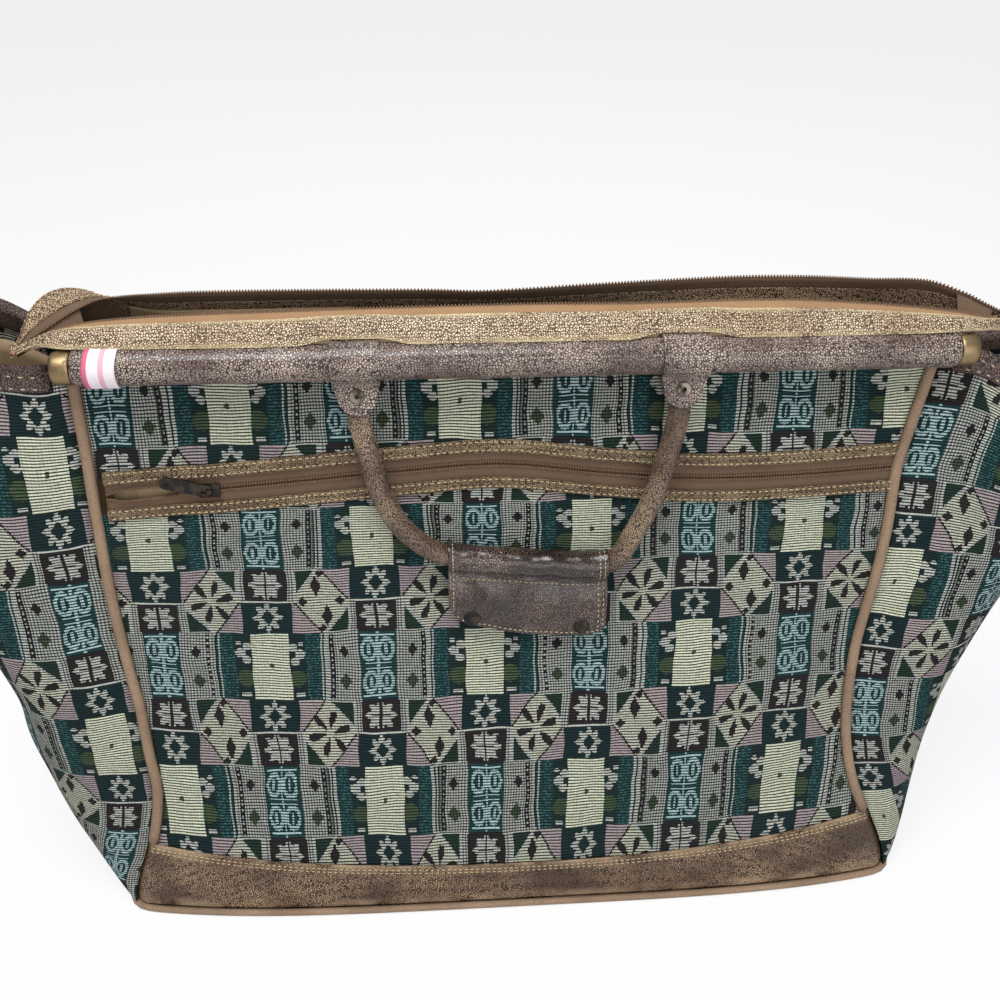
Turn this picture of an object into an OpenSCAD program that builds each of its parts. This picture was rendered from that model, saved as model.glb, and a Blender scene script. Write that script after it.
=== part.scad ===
// Carpet bag: a tapestry travel bag with an open zipped mouth between two leather-covered rods.
// The origin is at the centre of the flat bottom. X runs along the bag, the front faces -Y, Z is up.

/* [Body] */
// Length of a side wall along the base, between its corner seams
base_l = 556; // [520:2:590]
// Depth of the base from front to back
base_d = 230; // [200:2:260]
// Length of a side wall at its top seam
top_l = 528; // [510:2:540]
// Depth between the two top seams while the mouth stands open
top_d = 44; // [40:1:60]
// Height of the top seams above the base
seam_z = 404; // [360:2:440]
// How far the corner seams draw in between base and rods
pinch = 37; // [0:1:42]
// How far the side walls swell outwards
belly = 10; // [0:1:16]
// How far the corners of the base are rounded back
corner_in = 12; // [0:1:16]
// How far the end gussets puff out past the side walls
flare = 125; // [90:1:150]
// Height at which the gussets reach their full puff
flare_z = 260; // [200:5:340]
// How far the gussets swell past the top seams from front to back
lobe_puff = 30; // [0:1:36]
// Rise of the left gusset's top edge at its far end
left_rise = 14; // [0:1:24]
// Sag of the right gusset's top edge at its far end
right_sag = 24; // [0:1:30]
// How far the ends of the base bow out past the corner seams
end_bow = 9; // [8:1:16]
// Thickness of the tapestry cloth
cloth_t = 2.4; // [1.6:0.1:3]
// Thickness of the lining cloth
lining_t = 1; // [0.6:0.1:1.6]
// Room left between tapestry and lining for the pocket
pocket_room = 5; // [4:0.5:8]
// Thickness of the leather bottom
base_t = 3; // [2:0.5:5]
// Thickness of the stiffening board in the bottom
board_t = 2.5; // [2:0.5:5]

/* [Trims] */
// Radius of the welts along the corner seams
welt_r = 3.5; // [2.5:0.1:4]
// Radius of the welt round the base
base_welt_r = 2.5; // [2:0.1:2.9]
// Thickness of the leather trims
trim_t = 1.6; // [1.2:0.1:2.4]
// Height of the leather kick band at mid length
kick_h = 38; // [25:1:60]
// How much higher the kick band stands at its ends
kick_rise = 22; // [0:1:26]
// Height of the leather hem on the gussets
hem_h = 20; // [12:1:30]
// Width of the grab strap on the right gusset
strap_w = 25; // [18:1:34]
// How far the grab strap stands off the gusset
strap_bow = 14; // [8:1:22]

/* [Mouth] */
// Height of the leather mouth bands
band_h = 27; // [20:1:40]
// Thickness of the mouth bands
band_t = 2; // [1.4:0.1:2.6]
// Width of the zip tape that shows above a band
tape_h = 4.5; // [3:0.5:10]
// Thickness of the zip tapes
tape_t = 0.8; // [0.5:0.1:1]
// Distance from mid length to each end of the mouth zip
tip_x = 302; // [298:1:318]
// Inward lean of the mouth bands in degrees
band_lean = 10; // [0:1:14]

/* [Rods] */
// Overall length of a rod with its caps
rod_l = 560; // [550:2:600]
// Height of the rod axes
rod_z = 410; // [408:0.5:414]
// Distance from a rod's axis to the wall behind it
rod_gap = 14; // [13.8:0.1:16]
// Outer radius of a rod tube
rod_r = 8.5; // [7:0.1:8.8]
// Wall of a rod tube
rod_wall = 1.2; // [0.8:0.1:2]
// Outer radius of the leather sleeve on a rod
sleeve_r = 11.2; // [10.8:0.1:11.3]
// Length of the brass cap on each rod end
cap_l = 12; // [8:0.5:18]
// Outer radius of the caps
cap_r = 10.2; // [9.8:0.1:10.6]

/* [Handles] */
// Distance between a handle's two rivets
handle_w = 198; // [170:1:220]
// Drop of a handle's middle below the rod axis
handle_drop = 138; // [120:1:160]
// Radius of the rolled handles
roll_r = 8; // [6:0.1:9]
// Width of the leather loops round the rods
loop_w = 29; // [24:0.5:34]
// Thickness of the loop leather
loop_t = 2; // [1.4:0.1:2.1]
// Distance of the rivets below the rod axis
rivet_drop = 20; // [19:0.5:24]
// Outer radius of the rivet flanges
rivet_r = 4.75; // [4:0.05:6]
// Angle at which the handles rest against the walls
hang_tilt = 13; // [12.5:0.5:16]
// Left end of the grip wrap from mid length
wrap_left = -41; // [-60:1:-30]
// Right end of the grip wrap from mid length
wrap_right = 58; // [35:1:65]
// Thickness of the grip wrap leather
wrap_t = 1.8; // [1.2:0.1:2.2]
// Radius of the grip wrap's snap caps
snap_r = 5.8; // [4:0.1:6]

/* [Pocket] */
// Height of the pocket zip at mid length
pocket_z = 327; // [300:1:338]
// Rise of the pocket zip from its middle to the right end
pocket_rise = 2; // [0:0.5:8]
// Height of the pocket slot between the cut edges of the tapestry
slot_h = 24; // [20:1:28]
// Height of the pocket zip left open to view between its trims
slot_show = 16; // [14:0.5:18]
// Height of the leather trim above the slot
upper_trim_h = 8.5; // [7:0.5:12]
// Height of the leather trim below the slot
lower_trim_h = 7.5; // [7:0.5:12]
// Depth of the pocket's pouch
pouch_h = 190; // [120:5:240]
// Place of the pocket slider from mid length
slider_x = -195; // [-215:1:200]
// Length of the zip pulls
pull_l = 27; // [20:1:32]

/* [Hidden] */

$fn = 48;

// Gap left between neighbouring pieces
gap = 0.3;
// Exponent of the superellipse that the gussets follow in plan
lobe_power = 2.5;
// Facets round a gusset
lobe_n = 20;
// Share of the wall height over which the belly lies
belly_top = 0.76;
// Exponent that shifts the narrowest place of the corner seams below mid height
pinch_shift = 0.64;
// Exponents that shape the corner seams below and above that place
pinch_low = 3.1;
pinch_high = 0.9;
// Exponent that shapes the gussets' turn out above the base
flare_power = 0.75;
// Exponents that keep the rounding of the base corners and the rise of the kick band near the ends
corner_power = 4;
kick_power = 2;

// Lean of the side walls, as run over rise
lean = (base_d - top_d) / 2 / seam_z;
wall_z0 = base_t + gap + cloth_t * lean;
base_welt_z = base_welt_r + 0.1;
// Height at which the gussets and kick bands clear the base's welt
trim_z0 = base_welt_z + base_welt_r + gap;
rod_y = top_d / 2 + rod_gap;
seam_gap = welt_r + gap;
web_t = 3.2;
band_z = seam_z + web_t + 2 * gap + band_t * sin(band_lean);
lining_in = cloth_t + pocket_room;
gusset_lining_in = cloth_t + 1.6;
hem_gap = 0.8;
pipe_sides = 6;

tapestry_color = [0.20, 0.30, 0.29];
speckled_color = [0.62, 0.52, 0.40];
brown_color = [0.36, 0.27, 0.24];
kick_color = [0.46, 0.34, 0.26];
welt_color = [0.52, 0.41, 0.34];
lining_color = [0.76, 0.68, 0.55];
zip_color = [0.52, 0.38, 0.27];
teeth_color = [0.42, 0.33, 0.27];
brass_color = [0.55, 0.47, 0.34];
dark_metal_color = [0.25, 0.23, 0.21];

// Small helpers

function mix(a, b, k) = a + (b - a) * k;
function ease(e) = let (k = min(max(e, 0), 1)) k * k * (3 - 2 * k);
function unit(p) = p / norm(p);
function signed_pow(c, p) = sign(c) * pow(abs(c), p);

// Normal of surface f at (u, v), within the unit range of both
function normal(f, u, v) =
    let (
        e = 0.004,
        du = f(u + e, v) - f(u - e, v),
        dv = f(u, v + e) - f(u, v - e)
    ) unit(cross(du, dv));

// A sheet on surface f: u and v are ranges, t the range of offsets along the outward normal
module sheet(f, u, v, t, nu, nv) {
    layer = (nu + 1) * (nv + 1);
    points = [
        for (off = t, i = [0 : nu], j = [0 : nv])
            let (a = mix(u[0], u[1], i / nu), b = mix(v[0], v[1], j / nv))
            f(a, b) + off * normal(f, a, b)
    ];
    function at(l, i, j) = l * layer + i * (nv + 1) + j;
    function quad(a, b, c, d) = [[a, b, c], [a, c, d]];
    faces = [
        for (i = [0 : nu - 1], j = [0 : nv - 1]) each concat(
            quad(at(1, i, j), at(1, i, j + 1), at(1, i + 1, j + 1), at(1, i + 1, j)),
            quad(at(0, i, j), at(0, i + 1, j), at(0, i + 1, j + 1), at(0, i, j + 1))),
        for (i = [0 : nu - 1]) each concat(
            quad(at(0, i, 0), at(1, i, 0), at(1, i + 1, 0), at(0, i + 1, 0)),
            quad(at(0, i, nv), at(0, i + 1, nv), at(1, i + 1, nv), at(1, i, nv))),
        for (j = [0 : nv - 1]) each concat(
            quad(at(0, 0, j), at(0, 0, j + 1), at(1, 0, j + 1), at(1, 0, j)),
            quad(at(0, nu, j), at(1, nu, j), at(1, nu, j + 1), at(0, nu, j + 1)))
    ];
    polyhedron(points, faces, convexity = 8);
}

// A solid through rings of points, each anticlockwise when seen from the last ring. The first and
// second half of a ring face each other across a narrow strip, so that its ends close as a ladder.
module loft(rings, closed = false) {
    n = len(rings[0]);
    count = len(rings);
    sides = [
        for (i = [0 : count - (closed ? 1 : 2)], j = [0 : n - 1])
            let (a = i * n, b = ((i + 1) % count) * n, k = (j + 1) % n)
            each [[a + j, b + j, b + k], [a + j, b + k, a + k]]
    ];
    last = (count - 1) * n;
    ends = closed ? [] : [
        for (j = [0 : n / 2 - 2])
            let (k = n - 1 - j)
            each [
                [j, j + 1, k - 1], [j, k - 1, k],
                [last + j, last + k - 1, last + j + 1], [last + j, last + k, last + k - 1]
            ]
    ];
    polyhedron([for (ring = rings) each ring], concat(sides, ends), convexity = 8);
}

// Ring of a round cord at point p with direction d
function cord_ring(p, d, up, r, n) =
    let (right = unit(cross(up, d)), top = cross(d, right))
    [for (i = [0 : n - 1]) let (a = 360 * (i + 0.5) / n) p + r * cos(a) * right + r * sin(a) * top];

// A round cord along the points of a path
module cord(path, up, r, n, closed = false) {
    last = len(path) - 1;
    loft([
        for (i = [0 : last])
            let (
                before = closed ? path[(i + last) % (last + 1)] : path[max(i - 1, 0)],
                after = closed ? path[(i + 1) % (last + 1)] : path[min(i + 1, last)]
            )
            cord_ring(path[i], unit(after - before), up, r, n)
    ], closed);
}

// Shape of the body

function half_l(v) =
    let (k = min(max(v, 0), 1), s = sin(180 * pow(k, pinch_shift)))
    mix(base_l, top_l, v) / 2 - pinch * pow(max(s, 0), mix(pinch_low, pinch_high, k));
function half_d(v) = mix(base_d, top_d, v) / 2;
// How far the corner seams lie behind the middle of a side wall
function corner_back(v) = corner_in * pow(max(1 - v, 0), 3);
// Half the depth at the corner seams
function seam_d(v) = half_d(v) - corner_back(v);
function bulge(v) =
    v > 0 && v < belly_top ? belly * pow(sin(180 * v / belly_top), 1.3) : 0;
function puff_out(v) =
    let (k = min(max((v * seam_z - trim_z0) / flare_z, 0), 1))
    mix(end_bow, flare, pow(1 - (1 - k) * (1 - k), flare_power));

// Side walls: u runs from one corner seam to the other, v from the base to the top seam
front_wall = function(u, v)
    let (x = mix(-1, 1, u)) [
        x * (half_l(v) - seam_gap),
        -half_d(v) - bulge(v) * (1 - x * x) + corner_back(v) * pow(abs(x), corner_power),
        v * seam_z
    ];
rear_wall = function(u, v) let (p = front_wall(1 - u, v)) [p.x, -p.y, p.z];

// End gussets: u runs round the lobe, which leaves both corner seams square to the side walls
function lobe(side, u, v) =
    let (
        a = 180 * min(max(u, 0), 1),
        x = half_l(v) + seam_gap + (puff_out(v) - seam_gap) * pow(sin(a), 2 / lobe_power),
        lift = (side < 0 ? left_rise : -right_sag) * pow(max(v, 0), 4)
    ) [
        side * x,
        -seam_d(v) * signed_pow(cos(a), 2 / lobe_power) - lobe_puff * v * sin(2 * a),
        v * seam_z + lift * ease((x - rod_l / 2 - 3) / 50)
    ];
right_end = function(u, v) lobe(1, u, v);
left_end = function(u, v) lobe(-1, 1 - u, v);

wall_v0 = wall_z0 / seam_z;
trim_v0 = trim_z0 / seam_z;

// Height share from w, with rows closer together where the gussets turn out above the base
function row(w, v1, v0) = mix(v0, v1, pow(max(w, 0), 1.7));

// Outline of the base, drawn in by inset and by the lean of the walls up to height z
function base_outline(inset, z) =
    let (
        n = 10,
        in_y = inset + half_d(0) - half_d(z / seam_z),
        shrink = 1 - in_y / seam_d(0),
        front = [for (i = [0 : n]) let (p = front_wall(i / n, 0)) [p.x, p.y + in_y]],
        end = [for (i = [0 : n]) let (p = right_end(i / n, 0)) [p.x - inset, p.y * shrink]]
    )
    concat(front, end, [for (p = front) -p], [for (p = end) -p]);

// Bottom

module base_panel() {
    color(kick_color)
        linear_extrude(base_t)
            polygon(base_outline(0, 0));
}

board_z = base_t;
floor_z = board_z + board_t + lining_t;

module base_board() {
    color(lining_color * 0.8)
        translate([0, 0, board_z])
            linear_extrude(board_t)
                polygon(base_outline(cloth_t + 2 * gap, floor_z));
}

module base_lining() {
    color(lining_color)
        translate([0, 0, board_z + board_t])
            linear_extrude(lining_t)
                polygon(base_outline(cloth_t + 2 * gap, floor_z));
}

module base_piping() {
    edge = base_outline(0, 0);
    n = len(edge);
    out = base_welt_r + gap;
    path = [
        for (i = [0 : n - 1])
            let (d = unit(edge[(i + 1) % n] - edge[(i + n - 1) % n]), p = edge[i] + out * [d.y, -d.x])
            [p.x, p.y, base_welt_z]
    ];
    color(welt_color)
        cord(path, [0, 0, 1], base_welt_r, pipe_sides, true);
}

// Tapestry walls

slot_low_v = function(u) (pocket_line(u) - slot_h / 2) / seam_z;
slot_high_v = function(u) (pocket_line(u) + slot_h / 2) / seam_z;
function pocket_line(u) = pocket_z + pocket_rise * mix(-1, 1, u);

// The front wall below and above the pocket slot
lower_wall = function(u, v) front_wall(u, mix(wall_v0, slot_low_v(u), v));
upper_wall = function(u, v) front_wall(u, mix(slot_high_v(u), 1, v));

module front_lower_panel() {
    color(tapestry_color)
        sheet(lower_wall, [0, 1], [0, 1], [-cloth_t, 0], 22, 14);
}

module front_upper_panel() {
    color(tapestry_color)
        sheet(upper_wall, [0, 1], [0, 1], [-cloth_t, 0], 16, 3);
}

module rear_panel() {
    color(tapestry_color)
        sheet(rear_wall, [0, 1], [wall_v0, 1], [-cloth_t, 0], 20, 16);
}

module gusset(end) {
    rows = function(u, w) end(u, row(w, 1, trim_v0));
    color(tapestry_color)
        sheet(rows, [0, 1], [0, 1], [-cloth_t, 0], lobe_n, 12);
}

module left_gusset() { gusset(left_end); }
module right_gusset() { gusset(right_end); }

// Lining

lining_v0 = (floor_z + gap + (lining_in + lining_t) * lean) / seam_z;

module wall_lining(wall) {
    color(lining_color)
        sheet(wall, [0.01, 0.99], [lining_v0, 1], [-lining_in - lining_t, -lining_in], 10, 8);
}

module end_lining(end) {
    off = gusset_lining_in;
    top = 1 - (hem_h + 3 * gap) / seam_z;
    rows = function(u, w) end(u, row(w, top, lining_v0));
    color(lining_color)
        sheet(rows, [0, 1], [0, 1], [-off - lining_t, -off], lobe_n, 6);
}

module front_lining() { wall_lining(front_wall); }
module rear_lining() { wall_lining(rear_wall); }
module left_lining() { end_lining(left_end); }
module right_lining() { end_lining(right_end); }

// Leather along the base

// Top edge of the kick band, which rises towards the corner seams
function kick_top(u) = let (x = mix(-1, 1, u)) kick_h + kick_rise * pow(abs(x), kick_power);

module kick_band(wall) {
    over = (seam_gap - 3 * gap) / base_l;
    band = function(u, v) wall(u, mix(trim_v0, kick_top(u) / seam_z, v));
    color(kick_color)
        sheet(band, [-over, 1 + over], [0, 1], [gap, gap + trim_t], 22, 2);
}

module front_kick_band() { kick_band(front_wall); }
module rear_kick_band() { kick_band(rear_wall); }

// Welts up the corner seams

welt_z0 = kick_h + kick_rise + welt_r;
welt_z1 = rod_z - sleeve_r - gap;

module corner_welt(x_side, y_side) {
    n = 16;
    color(welt_color)
        cord([
            for (i = [0 : n])
                let (z = mix(welt_z0, welt_z1, i / n), v = z / seam_z)
                [x_side * half_l(v), y_side * (seam_d(v) + gap), z]
        ], [0, 1, 0], welt_r, pipe_sides);
}

module front_left_piping() { corner_welt(-1, -1); }
module front_right_piping() { corner_welt(1, -1); }
module rear_left_piping() { corner_welt(-1, 1); }
module rear_right_piping() { corner_welt(1, 1); }

// Folded leather hem over the top edge of a gusset

// Share of the lobe left bare at each end, where the rod caps stand
hem_bare = 1 / lobe_n;

module gusset_hem(end) {
    n = lobe_n - 2;
    low = 1 - hem_h / seam_z;
    inner = -cloth_t - hem_gap;
    over = (trim_t + gap) / seam_z;
    edge = gap / seam_z;
    section = [
        [hem_gap, low], [hem_gap, 1 + edge], [inner, 1 + edge], [inner, low],
        [inner - trim_t, low], [inner - trim_t, 1 + over],
        [hem_gap + trim_t, 1 + over], [hem_gap + trim_t, low]
    ];
    color(brown_color)
        loft([
            for (i = [0 : n])
                let (u = mix(hem_bare, 1 - hem_bare, i / n))
                [for (q = section) end(u, q[1]) + q[0] * normal(end, u, 1)]
        ]);
}

module left_gusset_hem() { gusset_hem(left_end); }
module right_gusset_hem() { gusset_hem(right_end); }

// Grab strap on the right gusset

strap_z0 = 140;
strap_z1 = 356;
patch_h = 34;
patch_w = strap_w + 12;

// Point on the middle of the right gusset that lies at length z up the cloth
function end_point(z) = right_end(0.5, z / seam_z);

module strap_patch(z0) {
    span = patch_w / 2;
    n = 4;
    color(brown_color)
        loft([
            for (i = [0 : n])
                let (p = end_point(z0 + patch_h * i / n), x = p.x + gap, z = p.z)
                [[x, span, z], [x, -span, z], [x + trim_t, -span, z], [x + trim_t, span, z]]
        ]);
}

module right_strap_patches() {
    strap_patch(strap_z0);
    strap_patch(strap_z1 - patch_h);
}

module right_end_strap() {
    n = 22;
    seat = trim_t + 2 * gap;
    color(brown_color)
        loft([
            for (i = [0 : n])
                let (
                    along = mix(strap_z0 + 4, strap_z1 - 4, i / n),
                    k = (along - strap_z0 - patch_h) / (strap_z1 - strap_z0 - 2 * patch_h),
                    p = end_point(along),
                    x = p.x + seat + strap_bow * pow(sin(180 * min(max(k, 0), 1)), 1.2),
                    z = p.z
                )
                [
                    [x, strap_w / 2, z], [x, -strap_w / 2, z],
                    [x + trim_t, -strap_w / 2, z], [x + trim_t, strap_w / 2, z]
                ]
        ]);
}

// Mouth

// Reach of the straight part of the mouth bands, past which they curve together
mouth_straight = rod_l / 2 - 55;
// Where the two mouth bands meet, forward of the middle
tip_y = -20;
// Share of their height that the bands keep where they meet
tip_h = 0.4;
tip_split = band_t + gap / 2;
// Length of zip that stays closed at each end
tip_closed = 20;

// A mouth edge: u runs along the mouth from tip to tip, h is the height above the seam
function mouth_edge(side, u, h) =
    let (
        m = mix(-1, 1, u) * tip_x,
        e = (abs(m) - mouth_straight) / (tip_x - tip_closed - mouth_straight),
        k = ease(e),
        y = side * (top_d / 2 - h * sin(band_lean))
    )
    [m, mix(y, tip_y + side * tip_split, k), band_z + h * mix(cos(band_lean), tip_h, k)];

front_mouth = function(u, h) mouth_edge(-1, u, h * band_h);
rear_mouth = function(u, h) mouth_edge(1, 1 - u, h * band_h);
mouth_top = (band_h + gap + tape_h) / band_h;
teeth_h = 2.6;
teeth_w = 2;

module mouth_band(edge) {
    color(speckled_color)
        sheet(edge, [0, 1], [0, 1], [-band_t, 0], 32, 2);
}

module mouth_tape(edge) {
    t = (band_t - tape_t) / 2;
    color(zip_color)
        sheet(edge, [0, 1], [1 + gap / band_h, mouth_top], [-t - tape_t, -t], 32, 1);
}

module mouth_teeth(edge) {
    t = (band_t - teeth_w) / 2;
    color(teeth_color)
        sheet(edge, [0, 1], [mouth_top + 0.1 / band_h, mouth_top + teeth_h / band_h],
            [-t - teeth_w, -t], 32, 1);
}

module front_mouth_band() { mouth_band(front_mouth); }
module rear_mouth_band() { mouth_band(rear_mouth); }
module front_mouth_tape() { mouth_tape(front_mouth); }
module rear_mouth_tape() { mouth_tape(rear_mouth); }
module front_mouth_teeth() { mouth_teeth(front_mouth); }
module rear_mouth_teeth() { mouth_teeth(rear_mouth); }

// Slider parked on the closed end of the mouth zip, on top of both rows of teeth
mouth_slider_l = 13;
mouth_slider_x = tip_x - mouth_slider_l / 2 + 1;
mouth_slider_z = mouth_edge(1, 1, band_h * mouth_top + teeth_h).z + gap;
slider_wall = 1.4;
slider_in = tip_split + gap;
lug_r = 2;
pin_r = 0.9;
// Height of a pull's pin above the slider's plate
pin_lift = 1.4;

module mouth_slider() {
    wide = slider_in + slider_wall;
    color(dark_metal_color)
        translate([mouth_slider_x, tip_y, mouth_slider_z])
            difference() {
                union() {
                    translate([-mouth_slider_l / 2, -wide, 0])
                        cube([mouth_slider_l, 2 * wide, slider_wall]);
                    for (s = [-1, 1])
                        translate([-mouth_slider_l / 2, s * (slider_in + slider_wall / 2) - slider_wall / 2, -teeth_h])
                            cube([mouth_slider_l, slider_wall, teeth_h + 0.1]);
                    translate([0, 0, slider_wall])
                        pull_lug();
                }
                translate([0, 0, slider_wall + pin_lift])
                    rotate([90, 0, 0])
                        cylinder(h = 4, r = pin_r, center = true);
            }
}

mouth_pull_z = mouth_slider_z + slider_wall + pin_lift;

// Lug on a slider's plate, in which the pull's pin turns
module pull_lug() {
    translate([-lug_r, -1.5, -0.1])
        cube([2 * lug_r, 3, pin_lift + 0.1]);
    translate([0, 0, pin_lift])
        rotate([90, 0, 0])
            cylinder(h = 3, r = lug_r, center = true);
}

// A zip pull that hangs from its pin along -X, flat in the XZ plane of its own frame
module pull_blade(length) {
    eye_r = 2.9;
    blade_t = 1.6;
    difference() {
        union() {
            translate([-length, -4, -blade_t / 2])
                cube([length - 5, 8, blade_t]);
            translate([-length, 0, 0])
                cylinder(h = blade_t, r = 4, center = true);
            for (s = [-1, 1])
                translate([-5.5, s * 2.9 - 0.9, -blade_t / 2])
                    cube([6.3, 1.8, blade_t]);
        }
        translate([-length + 1, 0, 0])
            cylinder(h = 4, r = eye_r / 2, center = true);
    }
    rotate([90, 0, 0])
        cylinder(h = 7.4, r = pin_r - 0.2, center = true);
}

module mouth_pull() {
    color(dark_metal_color)
        translate([mouth_slider_x, tip_y, mouth_pull_z])
            mirror([1, 0, 0])
                pull_blade(pull_l);
}

// Rods

module rod_place(side) {
    translate([0, side * rod_y, rod_z])
        rotate([0, 90, 0])
            children();
}

sleeve_l = rod_l - 2 * cap_l - 2 * gap;

module rod(side) {
    color(brass_color)
        rod_place(side)
            difference() {
                cylinder(h = rod_l - 4, r = rod_r, center = true);
                cylinder(h = rod_l, r = rod_r - rod_wall, center = true);
            }
}

module rod_caps(side) {
    end_wall = 1.8;
    color(brass_color)
        rod_place(side)
            for (s = [-1, 1])
                mirror([0, 0, s < 0 ? 1 : 0])
                    translate([0, 0, rod_l / 2])
                        rotate_extrude()
                            polygon([
                                [0, 0], [cap_r - 0.9, 0], [cap_r, -0.9], [cap_r, -cap_l],
                                [rod_r + 0.1, -cap_l], [rod_r + 0.1, -end_wall], [0, -end_wall]
                            ]);
}

loop_x = handle_w / 2;
notch_w = loop_w + 2;

// Leather sleeve round a rod, with the web that is sewn into the top seam between its loops
module rod_sleeve(side) {
    web_in = top_d / 2 - lining_in;
    color(brown_color)
        difference() {
            union() {
                rod_place(side)
                    cylinder(h = sleeve_l, r = sleeve_r, center = true);
                mirror([0, side < 0 ? 1 : 0, 0])
                    translate([-top_l / 2 + 2, web_in, seam_z + gap])
                        cube([top_l - 4, rod_y - web_in, web_t]);
            }
            rod_place(side)
                cylinder(h = rod_l, r = rod_r + gap, center = true);
            for (s = [-1, 1])
                difference() {
                    translate([s * loop_x - notch_w / 2, side * rod_y - 30, seam_z - 2])
                        cube([notch_w, 60, web_t + 6]);
                    rod_place(side)
                        cylinder(h = rod_l, r = sleeve_r, center = true);
                    translate([-rod_l / 2, side > 0 ? -rod_l : -top_d / 2 + gap, 0])
                        cube([rod_l, side > 0 ? rod_l + top_d / 2 - gap : rod_l, rod_l]);
                }
        }
}

module front_rod() { rod(-1); }
module rear_rod() { rod(1); }
module front_rod_sleeve() { rod_sleeve(-1); }
module rear_rod_sleeve() { rod_sleeve(1); }
module front_rod_caps() { rod_caps(-1); }
module rear_rod_caps() { rod_caps(1); }

// Cloth tag wrapped round the front of the sleeve near its left end
tag_x = -253;
tag_w = 23;
tag_t = 0.8;

module rod_tag() {
    color([0.85, 0.80, 0.80])
        translate([tag_x, -rod_y, rod_z])
            rotate([0, 90, 0])
                difference() {
                    cylinder(h = tag_w, r = sleeve_r + 0.1 + tag_t, center = true);
                    cylinder(h = tag_w + 2, r = sleeve_r + 0.1, center = true);
                    translate([-30, 2, -tag_w])
                        cube([60, 60, 2 * tag_w]);
                }
}

// Handles, drawn in a frame on the rod axis with -Z running down the hanging handle

module hang(side) {
    mirror([0, side < 0 ? 0 : 1, 0])
        translate([0, -rod_y, rod_z])
            rotate([-hang_tilt, 0, 0])
                children();
}

roll_power = 2.2;
roll_top = 15;
roll_slant = 4;
end_t = 4;
end_half_w = 7;
roll_sides = 10;

function roll_depth(x) =
    let (c = pow(min(abs(x) / loop_x, 1), roll_power / 2))
    roll_top + (handle_drop - roll_top + roll_slant * x / loop_x) * pow(sqrt(1 - c * c), 2 / roll_power);
function roll_point(t) =
    let (c = cos(180 * t), x = -loop_x * signed_pow(c, 2 / roll_power))
    [x, 0, -roll_top - (handle_drop - roll_top + roll_slant * x / loop_x) * pow(sin(180 * t), 2 / roll_power)];

// Ring across the rolled handle, flattened where it enters the loops
function roll_ring(t) =
    let (
        p = roll_point(t),
        d = unit(roll_point(min(t + 0.004, 1)) - roll_point(max(t - 0.004, 0))),
        k = ease((-p.z - rivet_drop - tab_r - 6) / 16),
        out = cross([0, 1, 0], d),
        a = mix(end_half_w, roll_r, k),
        b = mix(end_t / 2, roll_r, k)
    )
    [for (i = [0 : roll_sides - 1]) let (w = 360 * (i + 0.5) / roll_sides)
        p + a * cos(w) * out + [0, b * sin(w), 0]];

module handle_roll(side) {
    n = 40;
    color(brown_color)
        hang(side)
            difference() {
                loft([for (i = [0 : n]) roll_ring(i / n)]);
                for (s = [-1, 1])
                    translate([s * loop_x, 0, -rivet_drop])
                        rotate([90, 0, 0])
                            cylinder(h = 20, r = rivet_shank + 0.2, center = true);
            }
}

rivet_shank = 2.3;
rivet_hole = 1.5;
rivet_head = 1;
ring_r = sleeve_r + 0.45;
tab_gap = end_t + 2 * 0.15;
tab_out = tab_gap / 2 + loop_t;
tab_r = 12;

// Leather loop round the rod, whose two ends come together over the handle's end
module handle_loop() {
    neck = rivet_drop - 5;
    low = -rivet_drop - tab_r - 1;
    intersection() {
        rotate([90, 0, 90])
            linear_extrude(loop_w, center = true)
                difference() {
                    union() {
                        circle(ring_r + loop_t);
                        polygon([
                            [-ring_r - loop_t, 0], [ring_r + loop_t, 0],
                            [tab_out, -neck], [tab_out, low], [-tab_out, low], [-tab_out, -neck]
                        ]);
                    }
                    circle(ring_r);
                    polygon([
                        [-ring_r, 0], [ring_r, 0], [tab_gap / 2, -neck],
                        [tab_gap / 2, low - 1], [-tab_gap / 2, low - 1], [-tab_gap / 2, -neck]
                    ]);
                }
        rotate([90, 0, 0])
            linear_extrude(4 * ring_r, center = true)
                union() {
                    translate([-loop_w / 2, -ring_r])
                        square([loop_w, 3 * ring_r]);
                    polygon([
                        [-loop_w / 2, -ring_r], [loop_w / 2, -ring_r],
                        [tab_r, -rivet_drop], [-tab_r, -rivet_drop]
                    ]);
                    translate([0, -rivet_drop])
                        circle(tab_r);
                }
    }
}

module handle_loops(side) {
    color(brown_color)
        hang(side)
            for (s = [-1, 1])
                difference() {
                    translate([s * loop_x, 0, 0])
                        handle_loop();
                    translate([s * loop_x, 0, -rivet_drop])
                        rotate([90, 0, 0])
                            cylinder(h = 40, r = rivet_shank + 0.2, center = true);
                }
}

// Hollow rivet with a rolled flange on each side
module handle_rivets(side) {
    face = tab_out + 0.1;
    color(dark_metal_color)
        hang(side)
            for (s = [-1, 1])
                translate([s * loop_x, 0, -rivet_drop])
                    rotate([90, 0, 0])
                        rotate_extrude()
                            polygon([
                                [rivet_hole, -face - rivet_head], [rivet_r - 0.6, -face - rivet_head],
                                [rivet_r, -face - 0.4], [rivet_r, -face], [rivet_shank, -face],
                                [rivet_shank, face], [rivet_r, face], [rivet_r, face + 0.4],
                                [rivet_r - 0.6, face + rivet_head], [rivet_hole, face + rivet_head]
                            ]);
}

module front_handle_roll() { handle_roll(-1); }
module rear_handle_roll() { handle_roll(1); }
module front_handle_loops() { handle_loops(-1); }
module rear_handle_loops() { handle_loops(1); }
module front_handle_rivets() { handle_rivets(-1); }
module rear_handle_rivets() { handle_rivets(1); }

// Grip wrap: one piece of leather folded over the front handle, its two flaps closed by snaps

flap_left = 28;
flap_right = 38;
flap_gap = 0.2;

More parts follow.
